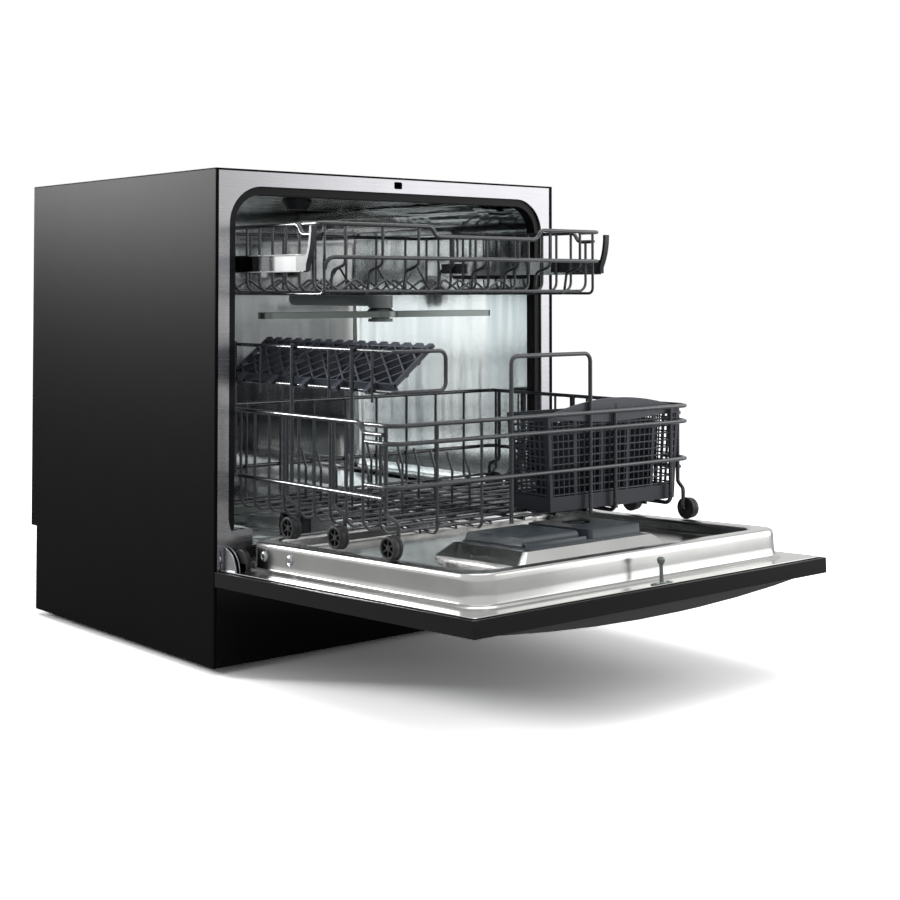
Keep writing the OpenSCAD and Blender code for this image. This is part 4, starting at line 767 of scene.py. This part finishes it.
def folded_edges():
    """Returns of the side and top panels, which lie over the edge of the front frame."""
    half, tall, lip, front, rear, foot = CABINET_HALF, CABINET_TALL, 4.4, -1.0, 1.4, 8
    for name, low, high in (("side_panel_left", (-half, front, foot), (-half + lip, rear, tall)),
                            ("side_panel_right", (half - lip, front, foot), (half, rear, tall)),
                            ("top_panel", (-half, front, tall - 2.4), (half, rear, tall))):
        b = bmesh.new()
        block(b, low, high)
        outward(b)
        piece(name + "_return", from_bmesh(name, b, CABINET), "cabinet", POWDER, (), 0.5)


# Near-black acetal of the tyre; the same finish on the web between the spokes is painted shade for the
# hollows there
TYRE = finish("black_acetal_tyre_painted_shade_web", "#2a2b2e", "#232427", 0.38, grain=1400, bump=0.08, IOR=1.48)
SPOKE = finish("grey_moulded_acetal", "#73767b", "#676a6f", 0.34, grain=1400, bump=0.06, IOR=1.48)

upper_rack()
lower_rack()
for side, s in (("left", -1), ("right", 1)):
    for i in range(4):
        wheel("wheel_%s_%d" % (side, i + 1), s, WHEEL_Y[i])
cup_shelf()
cutlery_basket()
door_liner()
door_panel()
hinge_lugs()
liner_screws()
striker()
folded_edges()

# ---------- the rest keeps its own shape, with eased edges ----------

COATS = {"front_frame": BRUSHED, "door_grip": BLACK, "dispenser_body": GREY, "dispenser_lid": GREY,
         "mid_spray_arm": SATIN, "lower_spray_arm": SATIN, "mid_spray_feed": PALE}
EDGES = {"filter": 0.0, "dispenser_body": 1.0, "dispenser_lid": 1.0, "tub": 0.6, "front_frame": 0.3}
MADE = {"upper_rack", "lower_rack", "rack_axles", "cup_shelf", "cutlery_basket", "door_liner", "striker",
        "door_panel", "hinge_arms", "liner_screws"}
for n in frame["nodes"]:
    if n not in MADE and not n.startswith("wheel_"):
        eased(n, COATS.get(n), EDGES.get(n, 0.4))

# ---------- stage ----------

bpy.ops.mesh.primitive_plane_add(size=60)
floor = bpy.context.object
floor.name = "floor"
PAPER_MIRRORED, PAPER_SEEN = 0.85, 3.3
paper = bpy.data.materials.new("white_studio_paper")
paper.use_nodes = True
pt = paper.node_tree
pt.nodes.remove(pt.nodes["Principled BSDF"])


def seen(tree, lit, mirrored, straight):
    """Brightness of the studio: the light that it gives, how metal and glass show it, how the camera does."""
    path = add(tree, "ShaderNodeLightPath")
    mirror = add(tree, "ShaderNodeMath", {"operation": "MAXIMUM"}, {0: path.outputs["Is Glossy Ray"],
                                                                    1: path.outputs["Is Transmission Ray"]})
    level = lit
    for ray, value in ((mirror.outputs[0], mirrored), (path.outputs["Is Camera Ray"], straight)):
        blend = add(tree, "ShaderNodeMath", {"operation": "MULTIPLY_ADD"}, {0: ray, 1: value - lit, 2: level})
        level = blend.outputs[0]
    return level


# The paper clips to white where it is fully lit and keeps the shadow
cloth = add(pt, "ShaderNodeBsdfDiffuse", None, {"Color": seen(pt, 0.79, PAPER_MIRRORED, PAPER_SEEN)})
pt.links.new(cloth.outputs[0], pt.nodes["Material Output"].inputs["Surface"])
floor.data.materials.append(paper)

world = bpy.data.worlds.new("studio")
bpy.context.scene.world = world
world.use_nodes = True
wt = world.node_tree
soft = wt.nodes["Background"]
soft.inputs["Color"].default_value = (1, 1, 1, 1)
wt.links.new(seen(wt, 0.32, 0.85, 1.0), soft.inputs["Strength"])


def lamp(name, at, aim, size, watts, beam=180):
    """Softbox; beam is the angle that its grid lets out."""
    light = bpy.data.lights.new(name, "AREA")
    light.spread = math.radians(beam)
    light.shape = "SQUARE"
    light.size = size
    light.energy = watts
    o = bpy.data.objects.new(name, light)
    bpy.context.scene.collection.objects.link(o)
    o.location = at
    o.rotation_euler = (Vector(aim) - Vector(at)).to_track_quat("-Z", "Y").to_euler()


lamp("overhead_softbox", (0.1, -0.2, 2.6), (0, -0.1, 0.3), 2.2, 20)
lamp("front_softbox", (1.9, -1.5, 0.9), (0, 0, 0.35), 1.7, 14)
lamp("back_left_softbox", (-1.35, 1.75, 1.05), (-0.28, 0.2, 0.95), 0.8, 11.5, 50)

SENSOR, PICTURE, FOCAL, HORIZON = 36, 900, 1574, 237    # sensor in millimetres, the rest in pixels
camera = bpy.data.cameras.new("camera")
camera.sensor_width = SENSOR
camera.lens = FOCAL / PICTURE * SENSOR
camera.shift_y = -(PICTURE / 2 - HORIZON) / PICTURE
camera.clip_start, camera.clip_end = 0.05, 100
eye = bpy.data.objects.new("camera", camera)
bpy.context.scene.collection.objects.link(eye)
yaw, up = math.radians(40.41), math.radians(1.88)
eye.location = CABINET @ Vector((-1265, -1589, 452))
ahead = Vector((sin(yaw) * cos(up), cos(yaw) * cos(up), sin(up)))
eye.rotation_euler = ahead.to_track_quat("-Z", "Y").to_euler()
bpy.context.scene.camera = eye
bpy.context.scene.view_settings.view_transform = "Standard"
